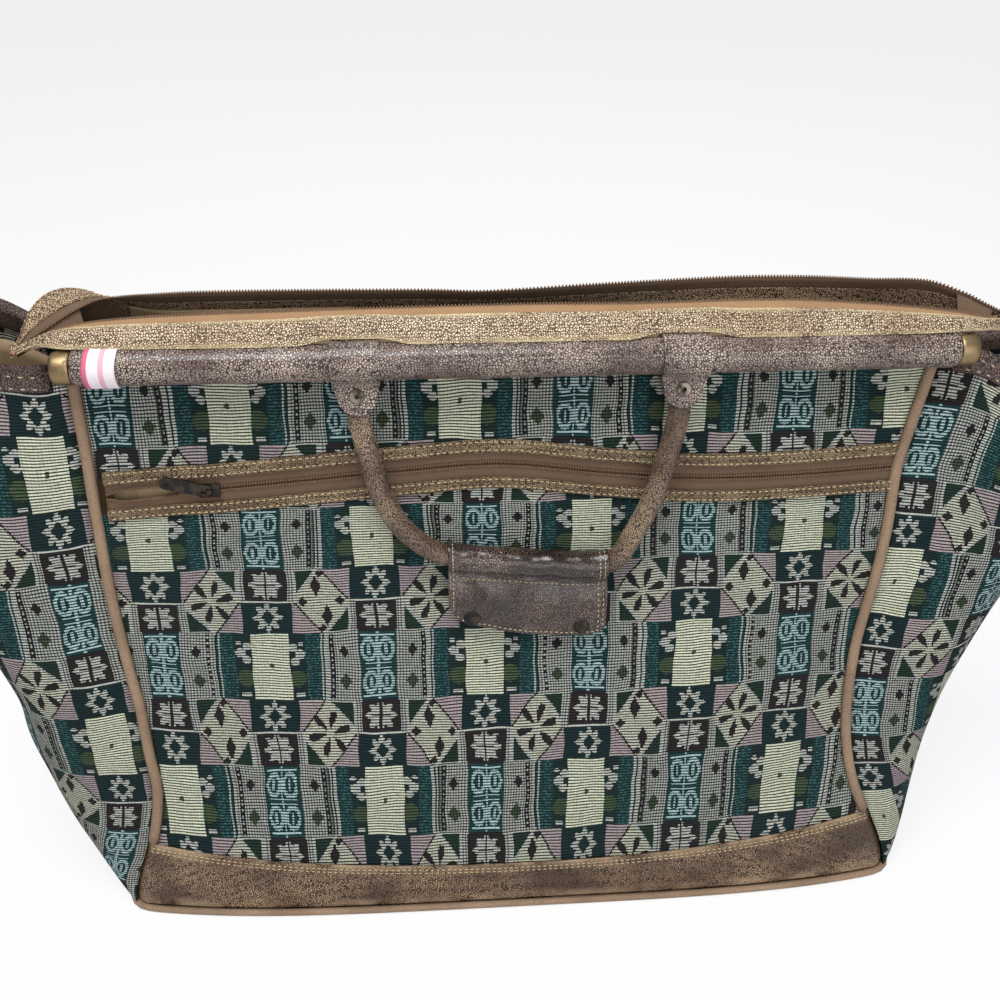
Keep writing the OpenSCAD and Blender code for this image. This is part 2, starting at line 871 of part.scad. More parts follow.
function flap_drop(x) =
    roll_depth(x) + mix(flap_left, flap_right, (x - wrap_left) / (wrap_right - wrap_left));
function wrap_section(x) =
    let (
        n = 12,
        slope = (roll_depth(x + 0.5) - roll_depth(x - 0.5)),
        stretch = sqrt(1 + slope * slope),
        r_in = roll_r + 2 * gap,
        r_out = r_in + wrap_t,
        half = flap_gap + wrap_t,
        from_out = asin(half / r_out),
        from_in = asin(flap_gap / r_in),
        mid = -roll_depth(x),
        low = -flap_drop(x),
        outer = [for (i = [0 : n]) let (b = mix(from_out, 360 - from_out, i / n))
            [x, -r_out * sin(b), mid - r_out * stretch * cos(b)]],
        inner = [for (i = [n : -1 : 0]) let (b = mix(from_in, 360 - from_in, i / n))
            [x, -r_in * sin(b), mid - r_in * stretch * cos(b)]]
    )
    concat([[x, -half, low]], outer, [[x, half, low], [x, flap_gap, low]], inner, [[x, -flap_gap, low]]);

module grip_wrap() {
    n = 9;
    color(brown_color * 0.8)
        hang(-1)
            loft([for (i = [0 : n]) wrap_section(mix(wrap_right, wrap_left, i / n))]);
}

snap_inset = 13;

module snap_places() {
    for (x = [wrap_left + snap_inset, wrap_right - snap_inset])
        translate([x, 0, -flap_drop(x) + snap_r + 3])
            rotate([90, 0, 0])
                children();
}

module grip_snap_caps() {
    face = flap_gap + wrap_t;
    color(dark_metal_color)
        hang(-1)
            snap_places()
                translate([0, 0, face])
                    rotate_extrude()
                        polygon([[0, 0], [snap_r, 0], [snap_r, 0.5], [snap_r - 1.2, 1.5], [snap_r - 3, 2], [0, 2.2]]);
}

module grip_snap_backs() {
    face = flap_gap + wrap_t;
    color(dark_metal_color)
        hang(-1)
            snap_places()
                translate([0, 0, -face - 1.2])
                    difference() {
                        cylinder(h = 1.2, r = snap_r - 1.5);
                        translate([0, 0, -1])
                            cylinder(h = 3, r = 1.6);
                    }
}

// Pocket zip

// A strip along the pocket slot, between two heights above its middle line
function pocket_strip(low, high) = function(u, v)
    front_wall(u, (pocket_line(u) + mix(low, high, v)) / seam_z);

module pocket_piece(low, high, t, nu, colour) {
    color(colour)
        sheet(pocket_strip(low, high), [0.006, 0.994], [0, 1], t, nu, 1);
}

show = slot_show / 2;
// Half the split between the two rows of teeth, in which the slider's neck runs
split = 0.6;
row_h = 2;

module pocket_upper_trim() {
    pocket_piece(show, show + upper_trim_h, [gap, gap + trim_t], 16, speckled_color);
}

module pocket_lower_trim() {
    pocket_piece(-show - lower_trim_h, -show, [gap, gap + trim_t], 16, speckled_color);
}

module pocket_upper_tape() {
    pocket_piece(split, slot_h / 2 - gap, [-0.6 - tape_t, -0.6], 8, zip_color);
}

module pocket_lower_tape() {
    pocket_piece(-slot_h / 2 + gap, -split, [-0.6 - tape_t, -0.6], 8, zip_color);
}

module pocket_upper_teeth() {
    pocket_piece(split, split + row_h, [-0.5, 0.9], 8, teeth_color);
}

module pocket_lower_teeth() {
    pocket_piece(-split - row_h, -split, [-0.5, 0.9], 8, teeth_color);
}

// Cloth of the pouch, which hangs from above the slot close to the lining
module pocket_pouch() {
    pouch_t = 0.8;
    seam = 6;
    back = lining_in - pouch_t - 2 * gap;
    color(lining_color)
        sheet(pocket_strip(-pouch_h, slot_h / 2 + seam), [0.02, 0.98], [0, 1], [-back - pouch_t, -back], 10, 5);
}

// Frame on the pocket line at distance x from mid length: X along the zip, Z out of the wall
pocket_left = pocket_strip(0, 0)(0, 0);
pocket_right = pocket_strip(0, 0)(1, 0);
pocket_along = unit(pocket_right - pocket_left);
pocket_out = normal(front_wall, 0.5, pocket_z / seam_z);
pocket_up = cross(pocket_out, pocket_along);

module on_pocket_line(x) {
    p = pocket_left + (x - pocket_left.x) / pocket_along.x * pocket_along;
    multmatrix([
        [pocket_along.x, pocket_up.x, pocket_out.x, p.x],
        [pocket_along.y, pocket_up.y, pocket_out.y, p.y],
        [pocket_along.z, pocket_up.z, pocket_out.z, p.z],
        [0, 0, 0, 1]
    ])
        children();
}

plate_z = 0.9 + gap;
slider_l = 13;
slider_w = 9;
pocket_pin_z = plate_z + slider_wall + pin_lift;
pull_skew = 14;

// Slider with a front and a back plate joined by its neck between the teeth
module pocket_slider() {
    color(dark_metal_color)
        on_pocket_line(slider_x)
            difference() {
                union() {
                    translate([-slider_l / 2, -slider_w / 2, plate_z])
                        cube([slider_l, slider_w, slider_wall]);
                    translate([-slider_l / 2, -slider_w / 2 + 1, -0.6 - tape_t - gap - 1])
                        cube([slider_l, slider_w - 2, 1]);
                    translate([-2, -split + 0.2, -0.6 - tape_t - gap - 0.5])
                        cube([4, 2 * split - 0.4, plate_z + 0.6 + tape_t + gap + 1]);
                    rotate([0, 0, -pull_skew])
                        translate([0, 0, plate_z + slider_wall])
                            pull_lug();
                }
                rotate([0, 0, -pull_skew])
                    translate([0, 0, pocket_pin_z])
                        rotate([90, 0, 0])
                            cylinder(h = 4, r = pin_r, center = true);
            }
}

module pocket_pull() {
    color(dark_metal_color)
        on_pocket_line(slider_x)
            rotate([0, 0, -pull_skew])
                translate([0, 0, pocket_pin_z])
                    pull_blade(pull_l);
}

base_panel();
base_board();
base_lining();
base_piping();
front_lower_panel();
front_upper_panel();
rear_panel();
left_gusset();
right_gusset();
front_lining();
rear_lining();
left_lining();
right_lining();
front_kick_band();
rear_kick_band();
front_left_piping();
front_right_piping();
rear_left_piping();
rear_right_piping();
left_gusset_hem();
right_gusset_hem();
right_strap_patches();
right_end_strap();
front_mouth_band();
rear_mouth_band();
front_mouth_tape();
rear_mouth_tape();
front_mouth_teeth();
rear_mouth_teeth();
mouth_slider();
mouth_pull();
front_rod();
rear_rod();
front_rod_sleeve();
rear_rod_sleeve();
front_rod_caps();
rear_rod_caps();
rod_tag();
front_handle_roll();
front_handle_loops();
front_handle_rivets();
grip_wrap();
grip_snap_caps();
grip_snap_backs();
rear_handle_roll();
rear_handle_loops();
rear_handle_rivets();
pocket_upper_trim();
pocket_lower_trim();
pocket_upper_tape();
pocket_lower_tape();
pocket_upper_teeth();
pocket_lower_teeth();
pocket_slider();
pocket_pull();
pocket_pouch();
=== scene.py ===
"""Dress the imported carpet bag: woven cloth, leather, zips, metal and stitches over the fixed frame."""

import logging
import math
from dataclasses import dataclass
from enum import Enum
from typing import Callable, Sequence

import bmesh
import bpy
from mathutils import Matrix, Vector, noise


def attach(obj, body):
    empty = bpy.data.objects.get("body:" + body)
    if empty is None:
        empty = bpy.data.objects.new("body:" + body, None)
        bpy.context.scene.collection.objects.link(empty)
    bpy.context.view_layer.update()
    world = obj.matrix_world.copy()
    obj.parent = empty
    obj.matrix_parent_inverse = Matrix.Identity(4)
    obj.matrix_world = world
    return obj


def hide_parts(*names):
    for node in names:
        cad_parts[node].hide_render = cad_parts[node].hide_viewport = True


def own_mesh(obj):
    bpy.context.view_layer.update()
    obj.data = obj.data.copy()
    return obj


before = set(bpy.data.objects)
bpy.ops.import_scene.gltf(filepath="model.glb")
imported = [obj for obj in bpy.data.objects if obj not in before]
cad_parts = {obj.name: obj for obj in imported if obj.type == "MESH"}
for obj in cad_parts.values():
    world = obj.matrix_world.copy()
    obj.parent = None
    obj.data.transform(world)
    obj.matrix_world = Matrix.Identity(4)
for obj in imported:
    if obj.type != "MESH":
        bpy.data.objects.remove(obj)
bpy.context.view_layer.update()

LOG = logging.getLogger("carpet_bag")
MM = 0.001
Piece = bpy.types.Object
Material = bpy.types.Material
Tree = bpy.types.NodeTree
Node = bpy.types.Node
Socket = bpy.types.NodeSocket
Keys = Sequence[Sequence[float]]
Spot = tuple[Vector, Vector, Vector]
Stitch = tuple[Vector, Vector]
Place = Callable[[float, float], Vector]
Flat = Callable[[float, float], tuple[float, float]]


# Plain arithmetic


def mix(a: float, b: float, k: float) -> float:
    """Return the value at share k between a and b."""
    return a + (b - a) * k


def ease(e: float) -> float:
    """Return e clamped to 0..1 and smoothed at both ends."""
    k = min(max(e, 0.0), 1.0)
    return k * k * (3 - 2 * k)


def signed_power(c: float, p: float) -> float:
    """Return |c| to the power p with the sign of c."""
    return math.copysign(abs(c) ** p, c)


def srgb(text: str) -> tuple[float, float, float, float]:
    """Return the linear colour of a hexadecimal screen colour.

    Args:
        text: six hexadecimal digits.

    Returns:
        Red, green, blue and alpha in linear light.
    """
    parts = [int(text[i : i + 2], 16) / 255 for i in (0, 2, 4)]
    linear = [c / 12.92 if c <= 0.04045 else ((c + 0.055) / 1.055) ** 2.4 for c in parts]
    return (linear[0], linear[1], linear[2], 1.0)


def smooth_line(keys: Sequence[Sequence[float]], x: float) -> list[float]:
    """Interpolate smoothly through keys whose first value rises.

    Args:
        keys: rows of numbers, each led by its place along the line.
        x: the place asked for.

    Returns:
        The row's other numbers at x.
    """
    if x <= keys[0][0]:
        return list(keys[0][1:])
    if x >= keys[-1][0]:
        return list(keys[-1][1:])
    i = max(j for j in range(len(keys) - 1) if keys[j][0] <= x)
    before, a, b, after = keys[max(i - 1, 0)], keys[i], keys[i + 1], keys[min(i + 2, len(keys) - 1)]
    k = (x - a[0]) / (b[0] - a[0])
    out = []
    for c in range(1, len(a)):
        slope_a = (b[c] - before[c]) / (b[0] - before[0]) * (b[0] - a[0])
        slope_b = (after[c] - a[c]) / (after[0] - a[0]) * (b[0] - a[0])
        h = 2 * k**3 - 3 * k**2 + 1, k**3 - 2 * k**2 + k, 3 * k**2 - 2 * k**3, k**3 - k**2
        out.append(h[0] * a[c] + h[1] * slope_a + h[2] * b[c] + h[3] * slope_b)
    return out


# Meshes


def finish_mesh(bm: bmesh.types.BMesh, name: str, body: str) -> Piece:
    """Turn a bmesh into an object that rides on a body.

    Args:
        bm: the mesh, in metres; it is freed.
        name: the piece's name.
        body: the body it moves with.

    Returns:
        The new object.
    """
    for face in bm.faces:
        face.smooth = True
    data = bpy.data.meshes.new(name)
    bm.to_mesh(data)
    bm.free()
    piece = bpy.data.objects.new(name, data)
    bpy.context.scene.collection.objects.link(piece)
    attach(piece, body)
    return piece


def sheet_mesh(
    name: str,
    body: str,
    columns: int,
    rows: int,
    place: Place,
    flat: "Flat | None" = None,
    wrap_u: bool = False,
    wrap_v: bool = False,
) -> Piece:
    """Shape a grid by a function of its two directions.

    Args:
        name: the piece's name.
        body: the body it moves with.
        columns: segments along u.
        rows: segments along v.
        place: point in millimetres at (u, v), each from 0 to 1.
        flat: UV in metres at (u, v); plain (u, v) where left out.
        wrap_u: whether the first and last columns are sewn together.
        wrap_v: whether the first and last rows are sewn together.

    Returns:
        The new object.
    """
    bm = bmesh.new()
    bmesh.ops.create_grid(bm, x_segments=columns, y_segments=rows, size=0.5)
    layer = bm.loops.layers.uv.new("Flat")
    for face in bm.faces:
        for loop in face.loops:
            u, v = loop.vert.co.x + 0.5, loop.vert.co.y + 0.5
            loop[layer].uv = flat(u, v) if flat else (u, v)
    for vert in bm.verts:
        vert.co = place(vert.co.x + 0.5, vert.co.y + 0.5) * MM
    if wrap_u or wrap_v:
        bmesh.ops.remove_doubles(bm, verts=bm.verts, dist=1e-6)
        bmesh.ops.recalc_face_normals(bm, faces=bm.faces)
    return finish_mesh(bm, name, body)


def frames_along(path: Sequence[Vector], up: Vector, closed: bool) -> list[tuple[Vector, Vector]]:
    """Return the side and top directions of a cord at each point of its path.

    Args:
        path: points in millimetres.
        up: the direction that the top stays near.
        closed: whether the path is a loop.

    Returns:
        One (side, top) pair for each point.
    """
    last = len(path) - 1
    out = []
    for i in range(last + 1):
        before = path[i - 1] if i > 0 else (path[last] if closed else path[0])
        after = path[i + 1] if i < last else (path[0] if closed else path[last])
        along = (after - before).normalized()
        side = up.cross(along).normalized()
        out.append((side, along.cross(side)))
    return out


def tube_mesh(
    name: str,
    body: str,
    path: Sequence[Vector],
    radius: tuple[float, float],
    sides: int,
    up: Vector,
    closed: bool = False,
) -> Piece:
    """Sweep a round or oval section along a path and close its ends.

    Args:
        name: the piece's name.
        body: the body it moves with.
        path: points in millimetres.
        radius: half width and half height of the section.
        sides: segments round the section.
        up: the direction that the section's top stays near.
        closed: whether the path is a loop.

    Returns:
        The new object, whose UVs run along the path and round it in metres.
    """
    wide, high = radius
    frames = frames_along(path, up, closed)
    count = len(path) - 1 + (1 if closed else 0)
    lengths = [0.0]
    for i in range(count):
        lengths.append(lengths[-1] + (path[(i + 1) % len(path)] - path[i]).length)

    def place(u: float, v: float) -> Vector:
        """Return a point of the skin."""
        i = round(u * count)
        a = 2 * math.pi * v
        side, top = frames[i % len(path)]
        return path[i % len(path)] + side * (wide * math.cos(a)) + top * (high * math.sin(a))

    def flat(u: float, v: float) -> tuple[float, float]:
        """Return the way along the path and round the section."""
        return lengths[round(u * count)] * MM, 2 * math.pi * v * wide * MM

    piece = sheet_mesh(name, body, count, sides, place, flat, wrap_u=closed, wrap_v=True)
    if not closed:
        bm = bmesh.new()
        bm.from_mesh(piece.data)
        edges = [e for e in bm.edges if e.is_boundary]
        bmesh.ops.holes_fill(bm, edges=edges, sides=0)
        bmesh.ops.recalc_face_normals(bm, faces=bm.faces)
        bm.to_mesh(piece.data)
        bm.free()
    return piece


def thicken(piece: Piece, thickness: float, offset: float = -1.0) -> None:
    """Give a sheet its thickness in millimetres, to the inside unless offset says otherwise."""
    wall = piece.modifiers.new("Thickness", "SOLIDIFY")
    wall.thickness = thickness * MM
    wall.offset = offset
    wall.use_even_offset = True


def round_edges(piece: Piece, width: float) -> None:
    """Round the sharp edges of a piece by a bevel width in millimetres."""
    bevel = piece.modifiers.new("Edges", "BEVEL")
    bevel.width = width * MM
    bevel.segments = 2
    bevel.limit_method = "ANGLE"
    bevel.angle_limit = math.radians(50)
    bevel.use_clamp_overlap = True


def lathe_mesh(
    name: str, body: str, profile: Sequence[tuple[float, float]], steps: int, place: Matrix
) -> Piece:
    """Spin a profile of (radius, height) points in millimetres round Z and put it in place.

    Args:
        name: the piece's name.
        body: the body it moves with.
        profile: the outline's points, from one end of the axis to the other.
        steps: segments round the axis.
        place: where the piece's own frame stands, in metres.

    Returns:
        The new object.
    """
    bm = bmesh.new()
    verts = [bm.verts.new((r * MM, 0, h * MM)) for r, h in profile]
    edges = [bm.edges.new(pair) for pair in zip(verts, verts[1:])]
    bmesh.ops.spin(
        bm,
        geom=[*verts, *edges],
        cent=(0, 0, 0),
        axis=(0, 0, 1),
        angle=2 * math.pi,
        steps=steps,
        use_merge=True,
    )
    bmesh.ops.remove_doubles(bm, verts=bm.verts, dist=1e-6)
    bmesh.ops.transform(bm, matrix=place, verts=bm.verts)
    bmesh.ops.recalc_face_normals(bm, faces=bm.faces)
    return finish_mesh(bm, name, body)


def beads_mesh(
    name: str, body: str, spots: Sequence[Spot], sizes: tuple[float, float, float]
) -> Piece:
    """Set a small rounded bead at each spot: stitches and zip teeth are made so.

    Args:
        name: the piece's name.
        body: the body it moves with.
        spots: centre, direction and outward direction of each bead, in millimetres.
        sizes: half length, half width and half height of a bead.

    Returns:
        The new object.
    """
    bm = bmesh.new()
    for centre, along, out in spots:
        x = along.normalized()
        y = out.cross(x).normalized()
        z = x.cross(y)
        turn = Matrix((x * sizes[0], y * sizes[1], z * sizes[2])).transposed().to_4x4()
        turn = Matrix.Translation(centre * MM) @ Matrix.Scale(MM, 4) @ turn
        bmesh.ops.create_icosphere(bm, subdivisions=1, radius=1.0, matrix=turn)
    return finish_mesh(bm, name, body)


# Shader nodes


class Value:
    """A number in a node tree that Python arithmetic extends with Math nodes."""

    def __init__(self, tree: Tree, socket: Socket) -> None:
        """Wrap one output socket of a tree."""
        self.tree = tree
        self.socket = socket

    def math(self, operation: str, *others: "Value | float", clamp: bool = False) -> "Value":
        """Add a Math node with this value first.

        Args:
            operation: the Math node's operation.
            others: the values of its other inputs.
            clamp: whether the result is kept within 0 and 1.

        Returns:
            The result.
        """
        node = self.tree.nodes.new("ShaderNodeMath")
        node.operation = operation
        node.use_clamp = clamp
        self.tree.links.new(self.socket, node.inputs[0])
        for i, other in enumerate(others):
            if isinstance(other, Value):
                self.tree.links.new(other.socket, node.inputs[i + 1])
            else:
                node.inputs[i + 1].default_value = float(other)
        return Value(self.tree, node.outputs[0])

    def __add__(self, other: "Value | float") -> "Value":
        """Return the sum."""
        return self.math("ADD", other)

    def __sub__(self, other: "Value | float") -> "Value":
        """Return the difference."""
        return self.math("SUBTRACT", other)

    def __mul__(self, other: "Value | float") -> "Value":
        """Return the product."""
        return self.math("MULTIPLY", other)

    def size(self) -> "Value":
        """Return the value without its sign."""
        return self.math("ABSOLUTE")

    def below(self, other: "Value | float") -> "Value":
        """Return 1 where this value is less than the other."""
        return self.math("LESS_THAN", other)

    def above(self, other: "Value | float") -> "Value":
        """Return 1 where this value is greater than the other."""
        return self.math("GREATER_THAN", other)

    def within(self, low: float, high: float) -> "Value":
        """Return 1 where this value lies between low and high."""
        return self.above(low) * self.below(high)

    def wrap(self, period: float) -> "Value":
        """Return the remainder from -period / 2 to period / 2."""
        return self.math("WRAP", period / 2, -period / 2)

    def step(self, size: float) -> "Value":
        """Return the middle of the step of that size that this value falls in."""
        return (self.math("MULTIPLY", 1 / size).math("FLOOR") + 0.5) * size

    def either(self, other: "Value") -> "Value":
        """Return the larger of two masks."""
        return self.math("MAXIMUM", other)

    def but(self, other: "Value") -> "Value":
        """Return this mask where the other is off."""
        return self.math("SUBTRACT", other, clamp=True)

    def off(self) -> "Value":
        """Return 1 minus this value."""
        return self.math("MULTIPLY_ADD", -1.0, 1.0)

    def reach(self, other: "Value", x: float, y: float) -> "Value":
        """Return the distance of the point (this, other) from (x, y)."""
        dx, dy = self - x, other - y
        return (dx * dx + dy * dy).math("SQRT")


@dataclass
class Paint:
    """A colour in a node tree that masks lay other colours over."""

    tree: Tree
    socket: Socket

    def over(self, mask: "Value", colour: "tuple | Socket") -> "Paint":
        """Lay a colour over this one.

        Args:
            mask: where the new colour goes, from 0 to 1.
            colour: the colour, or a socket that gives it.

        Returns:
            The painted colour.
        """
        node = self.tree.nodes.new("ShaderNodeMix")
        node.data_type = "RGBA"
        self.tree.links.new(mask.socket, node.inputs["Factor"])
        self.tree.links.new(self.socket, node.inputs[6])
        if isinstance(colour, Socket):
            self.tree.links.new(colour, node.inputs[7])
        else:
            node.inputs[7].default_value = colour
        return Paint(self.tree, node.outputs[2])


def plain_paint(tree: Tree, colour: tuple) -> Paint:
    """Start a colour from one flat colour of a tree."""
    node = tree.nodes.new("ShaderNodeRGB")
    node.outputs[0].default_value = colour
    return Paint(tree, node.outputs[0])


def new_group(
    name: str, inputs: Sequence[tuple[str, str]], outputs: Sequence[tuple[str, str]]
) -> tuple[Tree, Node, Node]:
    """Make a shader node group with named sockets.

    Args:
        name: the group's name.
        inputs: name and socket kind of each input.
        outputs: name and socket kind of each output.

    Returns:
        The group with its input and output nodes.
    """
    tree = bpy.data.node_groups.new(name, "ShaderNodeTree")
    for label, kind in inputs:
        tree.interface.new_socket(name=label, in_out="INPUT", socket_type=kind)
    for label, kind in outputs:
        tree.interface.new_socket(name=label, in_out="OUTPUT", socket_type=kind)
    return tree, tree.nodes.new("NodeGroupInput"), tree.nodes.new("NodeGroupOutput")


NUMBER, COLOUR, VECTOR = "NodeSocketFloat", "NodeSocketColor", "NodeSocketVector"


def noise_value(tree: Tree, vector: Socket, scale: "float | Socket", detail: float = 2.0) -> Value:
    """Add a noise texture.

    Args:
        tree: the tree it goes in.
        vector: where it is read.
        scale: its scale, or a socket that gives it.
        detail: its octaves.

    Returns:
        Its value from 0 to 1.
    """
    node = tree.nodes.new("ShaderNodeTexNoise")
    node.inputs["Detail"].default_value = detail
    tree.links.new(vector, node.inputs["Vector"])
    if isinstance(scale, Socket):
        tree.links.new(scale, node.inputs["Scale"])
    else:
        node.inputs["Scale"].default_value = scale
    return Value(tree, node.outputs["Fac"])


def ramp(value: Value, low: float, high: float) -> Value:
    """Stretch a value so that low becomes 0 and high becomes 1, clamped."""
    return (value - low).math("MULTIPLY", 1 / (high - low), clamp=True)


class KilimCloth:
    """The node group of the woven tapestry: half-dropped columns of blocks, stars and diamonds."""

    drop = 71.0
    repeat = 195.0
    weft = 1.95
    warp = 1.1
    grid = 1.9
    ground = srgb("182b2b")
    night = srgb("162a2d")
    teal = srgb("1a3d3f")
    fleck = srgb("3f6a6a")
    green = srgb("1f3329")
    olive = srgb("46543a")
    cream = srgb("cfd3ba")
    sand = srgb("bcbcaa")
    grey = srgb("b5b8b0")
    plum = srgb("2b2023")
    blue = srgb("a3bdbf")
    pink = srgb("a6989a")
    dark = srgb("101617")

    def __init__(self) -> None:
        """Build the group."""
        tree, given, out = new_group(
            "Kilim weave", [("Across", NUMBER), ("Along", NUMBER)], [("Colour", COLOUR), ("Thread", NUMBER)]
        )
        self.tree = tree
        across, along = Value(tree, given.outputs[0]), Value(tree, given.outputs[1])
        pull = noise_value(tree, self._spot(across, along, 1 / 30, 1 / 30), 1.0, 1.0) - 0.5
        sway = noise_value(tree, self._spot(along, across, 1 / 26, 1 / 34), 1.0, 1.0) - 0.5
        across, along = across + pull * 5.0, along + sway * 5.0
        paint, gridded = self._pattern(across.step(self.warp), along.step(self.weft / 2))
        light = self._threads(across, along, gridded)
        shade = plain_paint(tree, self.dark).over(light, paint.socket)
        tree.links.new(shade.socket, out.inputs[0])
        tree.links.new(light.socket, out.inputs[1])

    def _spot(self, first: Value, second: Value, wide: float, high: float) -> Socket:
        """Return a vector made of two values and their scales."""
        place = self.tree.nodes.new("ShaderNodeCombineXYZ")
        self.tree.links.new((first * wide).socket, place.inputs[0])
        self.tree.links.new((second * high).socket, place.inputs[1])
        return place.outputs[0]

    def _threads(self, across: Value, along: Value, gridded: Value) -> Value:
        """Return how much light thread shows at a point.

        Args:
            across: millimetres across the cloth.
            along: millimetres up the cloth.
            gridded: where dark warp threads cross the light ones.

        Returns:
            A number from 0, the dark ground, to 1, the top of a thread.
        """
        rib = (along * (2 * math.pi / self.weft)).math("COSINE") * 0.5 + 0.5
        yarn = (across * (2 * math.pi / self.warp / 2)).math("COSINE") * 0.5 + 0.5
        bars = ramp((across * (2 * math.pi / self.grid)).math("COSINE") * 0.5 + 0.5, 0.12, 0.5)
        worn = noise_value(self.tree, self._spot(across, along, 0.3, 0.95), 1.0, 2.0)
        light = ramp(rib, 0.08, 0.6) * (yarn * 0.22 + 0.78) * (worn * 1.5 + 0.27)
        crossed = gridded * (bars.off() * 0.72)
        return (light * crossed.off()).math("MULTIPLY", 1.0, clamp=True)

    def _pattern(self, u: Value, v: Value) -> tuple[Paint, Value]:
        """Return the pattern's colour and where its panels are gridded.

        Args:
            u: millimetres across the cloth.
            v: millimetres up the cloth.

        Returns:
            The colour, and the mask of the gridded panels.
        """
        column = (u * (1 / self.drop) + 0.5).math("FLOOR")
        odd = column.math("PINGPONG", 1.0)
        x = u - column * self.drop
        y = (v + odd * (self.repeat / 2)).wrap(self.repeat)
        b, a = x.size(), y.size()
        row = self.repeat / 4
        block_row, mid_row, far_row = a.below(row / 2), a.within(row / 2, 1.5 * row), a.above(1.5 * row)
        paint = plain_paint(self.tree, self.ground)
        paint = self._block(paint, b, y, block_row)
        paint = self._squares(paint, x, a, row)
        # Diamonds between the columns, and the triangles at their corners
        side, high = (b - self.drop / 2).size(), a - row
        diamond = side * (1 / 18.3) + high.size() * (1 / 25.0)
        near, far = high.below(0.0) * mid_row, high.above(0.0) * mid_row
        paint = paint.over(near * diamond.above(1.0) * b.above(16.5), self.pink)
        paint = paint.over(far * diamond.above(1.0) * b.above(17.5), self.green)
        frame_line = diamond.within(1.0, 1.13).either(b.within(17.5, 19.2) * diamond.above(1.0))
        paint = paint.over(far * frame_line * b.above(17.5), self.grey)
        inside = diamond.below(1.0) * mid_row * b.above(16.0)
        paint = paint.over(inside, self.sand)
        paint = paint.over(near * diamond.within(0.97, 1.05), self.dark)
        paint = paint.over(self._motifs(u, v, inside), self.plum)
        panel, paint = self._scroll(paint, b, (a - self.repeat / 2).size(), y, far_row)
        # White lines between blocks and panels, and across the columns
        border = b.within(33.1, 34.7) * mid_row.off()
        rule = high.size().below(0.9) * b.below(18.0)
        shelf = a.within(1.5 * row - 1.2, 1.5 * row + 1.0) * b.above(12.5)
        paint = paint.over(border.either(rule).either(shelf), self.grey)
        bars = far * b.within(13.5, 17.5)
        return paint, panel.either(bars)

    def _block(self, paint: Paint, b: Value, y: Value, row: Value) -> Paint:
        """Lay the cream block with the leaves and flecks of its field."""
        specks = noise_value(self.tree, self._spot(b, y, 0.8, 0.7), 1.0, 0.0).above(0.6)
        paint = paint.over(row * b.above(23.5), self.teal)
        paint = paint.over(row * b.above(24.0) * specks, self.fleck)
        paint = paint.over(row * b.reach(y, 17, -9).below(6.2), self.olive)
        cluster = b.reach(y, 16.5, 4).below(2.9).either(b.reach(y, 20, 9).below(3.4))
        cluster = cluster.either(b.reach(y, 15.5, 13.5).below(3.0)).either(b.reach(y, 21, 16).below(1.8))
        dashes = b.within(15, 21) * y.within(-22, -19.4)
        paint = paint.over(cluster.either(dashes) * row, self.grey)
        paint = paint.over(b.below(13.0) * y.size().below(25.4), self.cream)
        return paint.over(b.reach(y, 0, 0).below(1.7), self.olive)

    def _squares(self, paint: Paint, x: Value, a: Value, row: float) -> Paint:
        """Lay the dark squares of a column: a hollow star, then a snow star with its gridded bars."""
        b = x.size()
        to_star, star_row = a - 0.75 * row, a.within(row / 2, row)
        hollow = (b + to_star.size() * 0.75).below(4.6)
        points = ((x * 1.2).math("ARCTAN2", to_star) * (8 / math.pi)).math("PINGPONG", 1.0) * -5.2 + 12.0
        star = (b * 1.2).reach(to_star, 0, 0).below(points).but(hollow)
        paint = paint.over(star_row * b.below(16.5), self.night)
        paint = paint.over(star_row * star, self.grey)
        to_snow, plum_row = a - 1.25 * row, a.within(row, 1.5 * row)
        arms = ((x * 1.1).math("ARCTAN2", to_snow) * (8 / math.pi)).math("PINGPONG", 1.0) * -4.8 + 12.0
        cross = b.below(0.8).either(to_snow.size().below(0.9) * b.below(6.5))
        snow = (b * 1.1).reach(to_snow, 0, 0).below(arms).but(cross)
        paint = paint.over(plum_row * b.below(13.5), self.plum)
        paint = paint.over(plum_row * snow, self.grey)
        return paint.over(plum_row * b.within(13.5, 17.5), self.grey)

    def _motifs(self, u: Value, v: Value, inside: Value) -> Value:
        """Return the dark marks of the diamonds: six petals in one kind, two leaves and dots in the other."""
        m = (u * (1 / self.drop)).math("FLOOR")
        n = (v * (2 / self.repeat)).math("FLOOR")
        x = u - (m + 0.5) * self.drop
        y = (v - (n + 0.5) * (self.repeat / 2)) * 0.85
        kind = (m + n).math("PINGPONG", 1.0)
        r = x.reach(y, 0, 0)
        turn = (x.math("ARCTAN2", y) * 6 - 1.8).math("COSINE")
        petals = (r - 8.4).size().below(turn * 7.6) * r.within(2.8, 14.0)
        lean = x * y.math("SIGN") + 3.0
        leaves = (lean.size() * (1 / 3.7) + (y.size() - 9.5).size() * (1 / 7.2)).below(1.0)
        dots = (x.size() - 12.6).size() + y.size()
        tips = x.size() + (y.size() - 17.5).size()
        second = leaves.either(dots.below(3.4)).either(tips.below(2.6))
        return (petals * kind + second * kind.off()) * inside

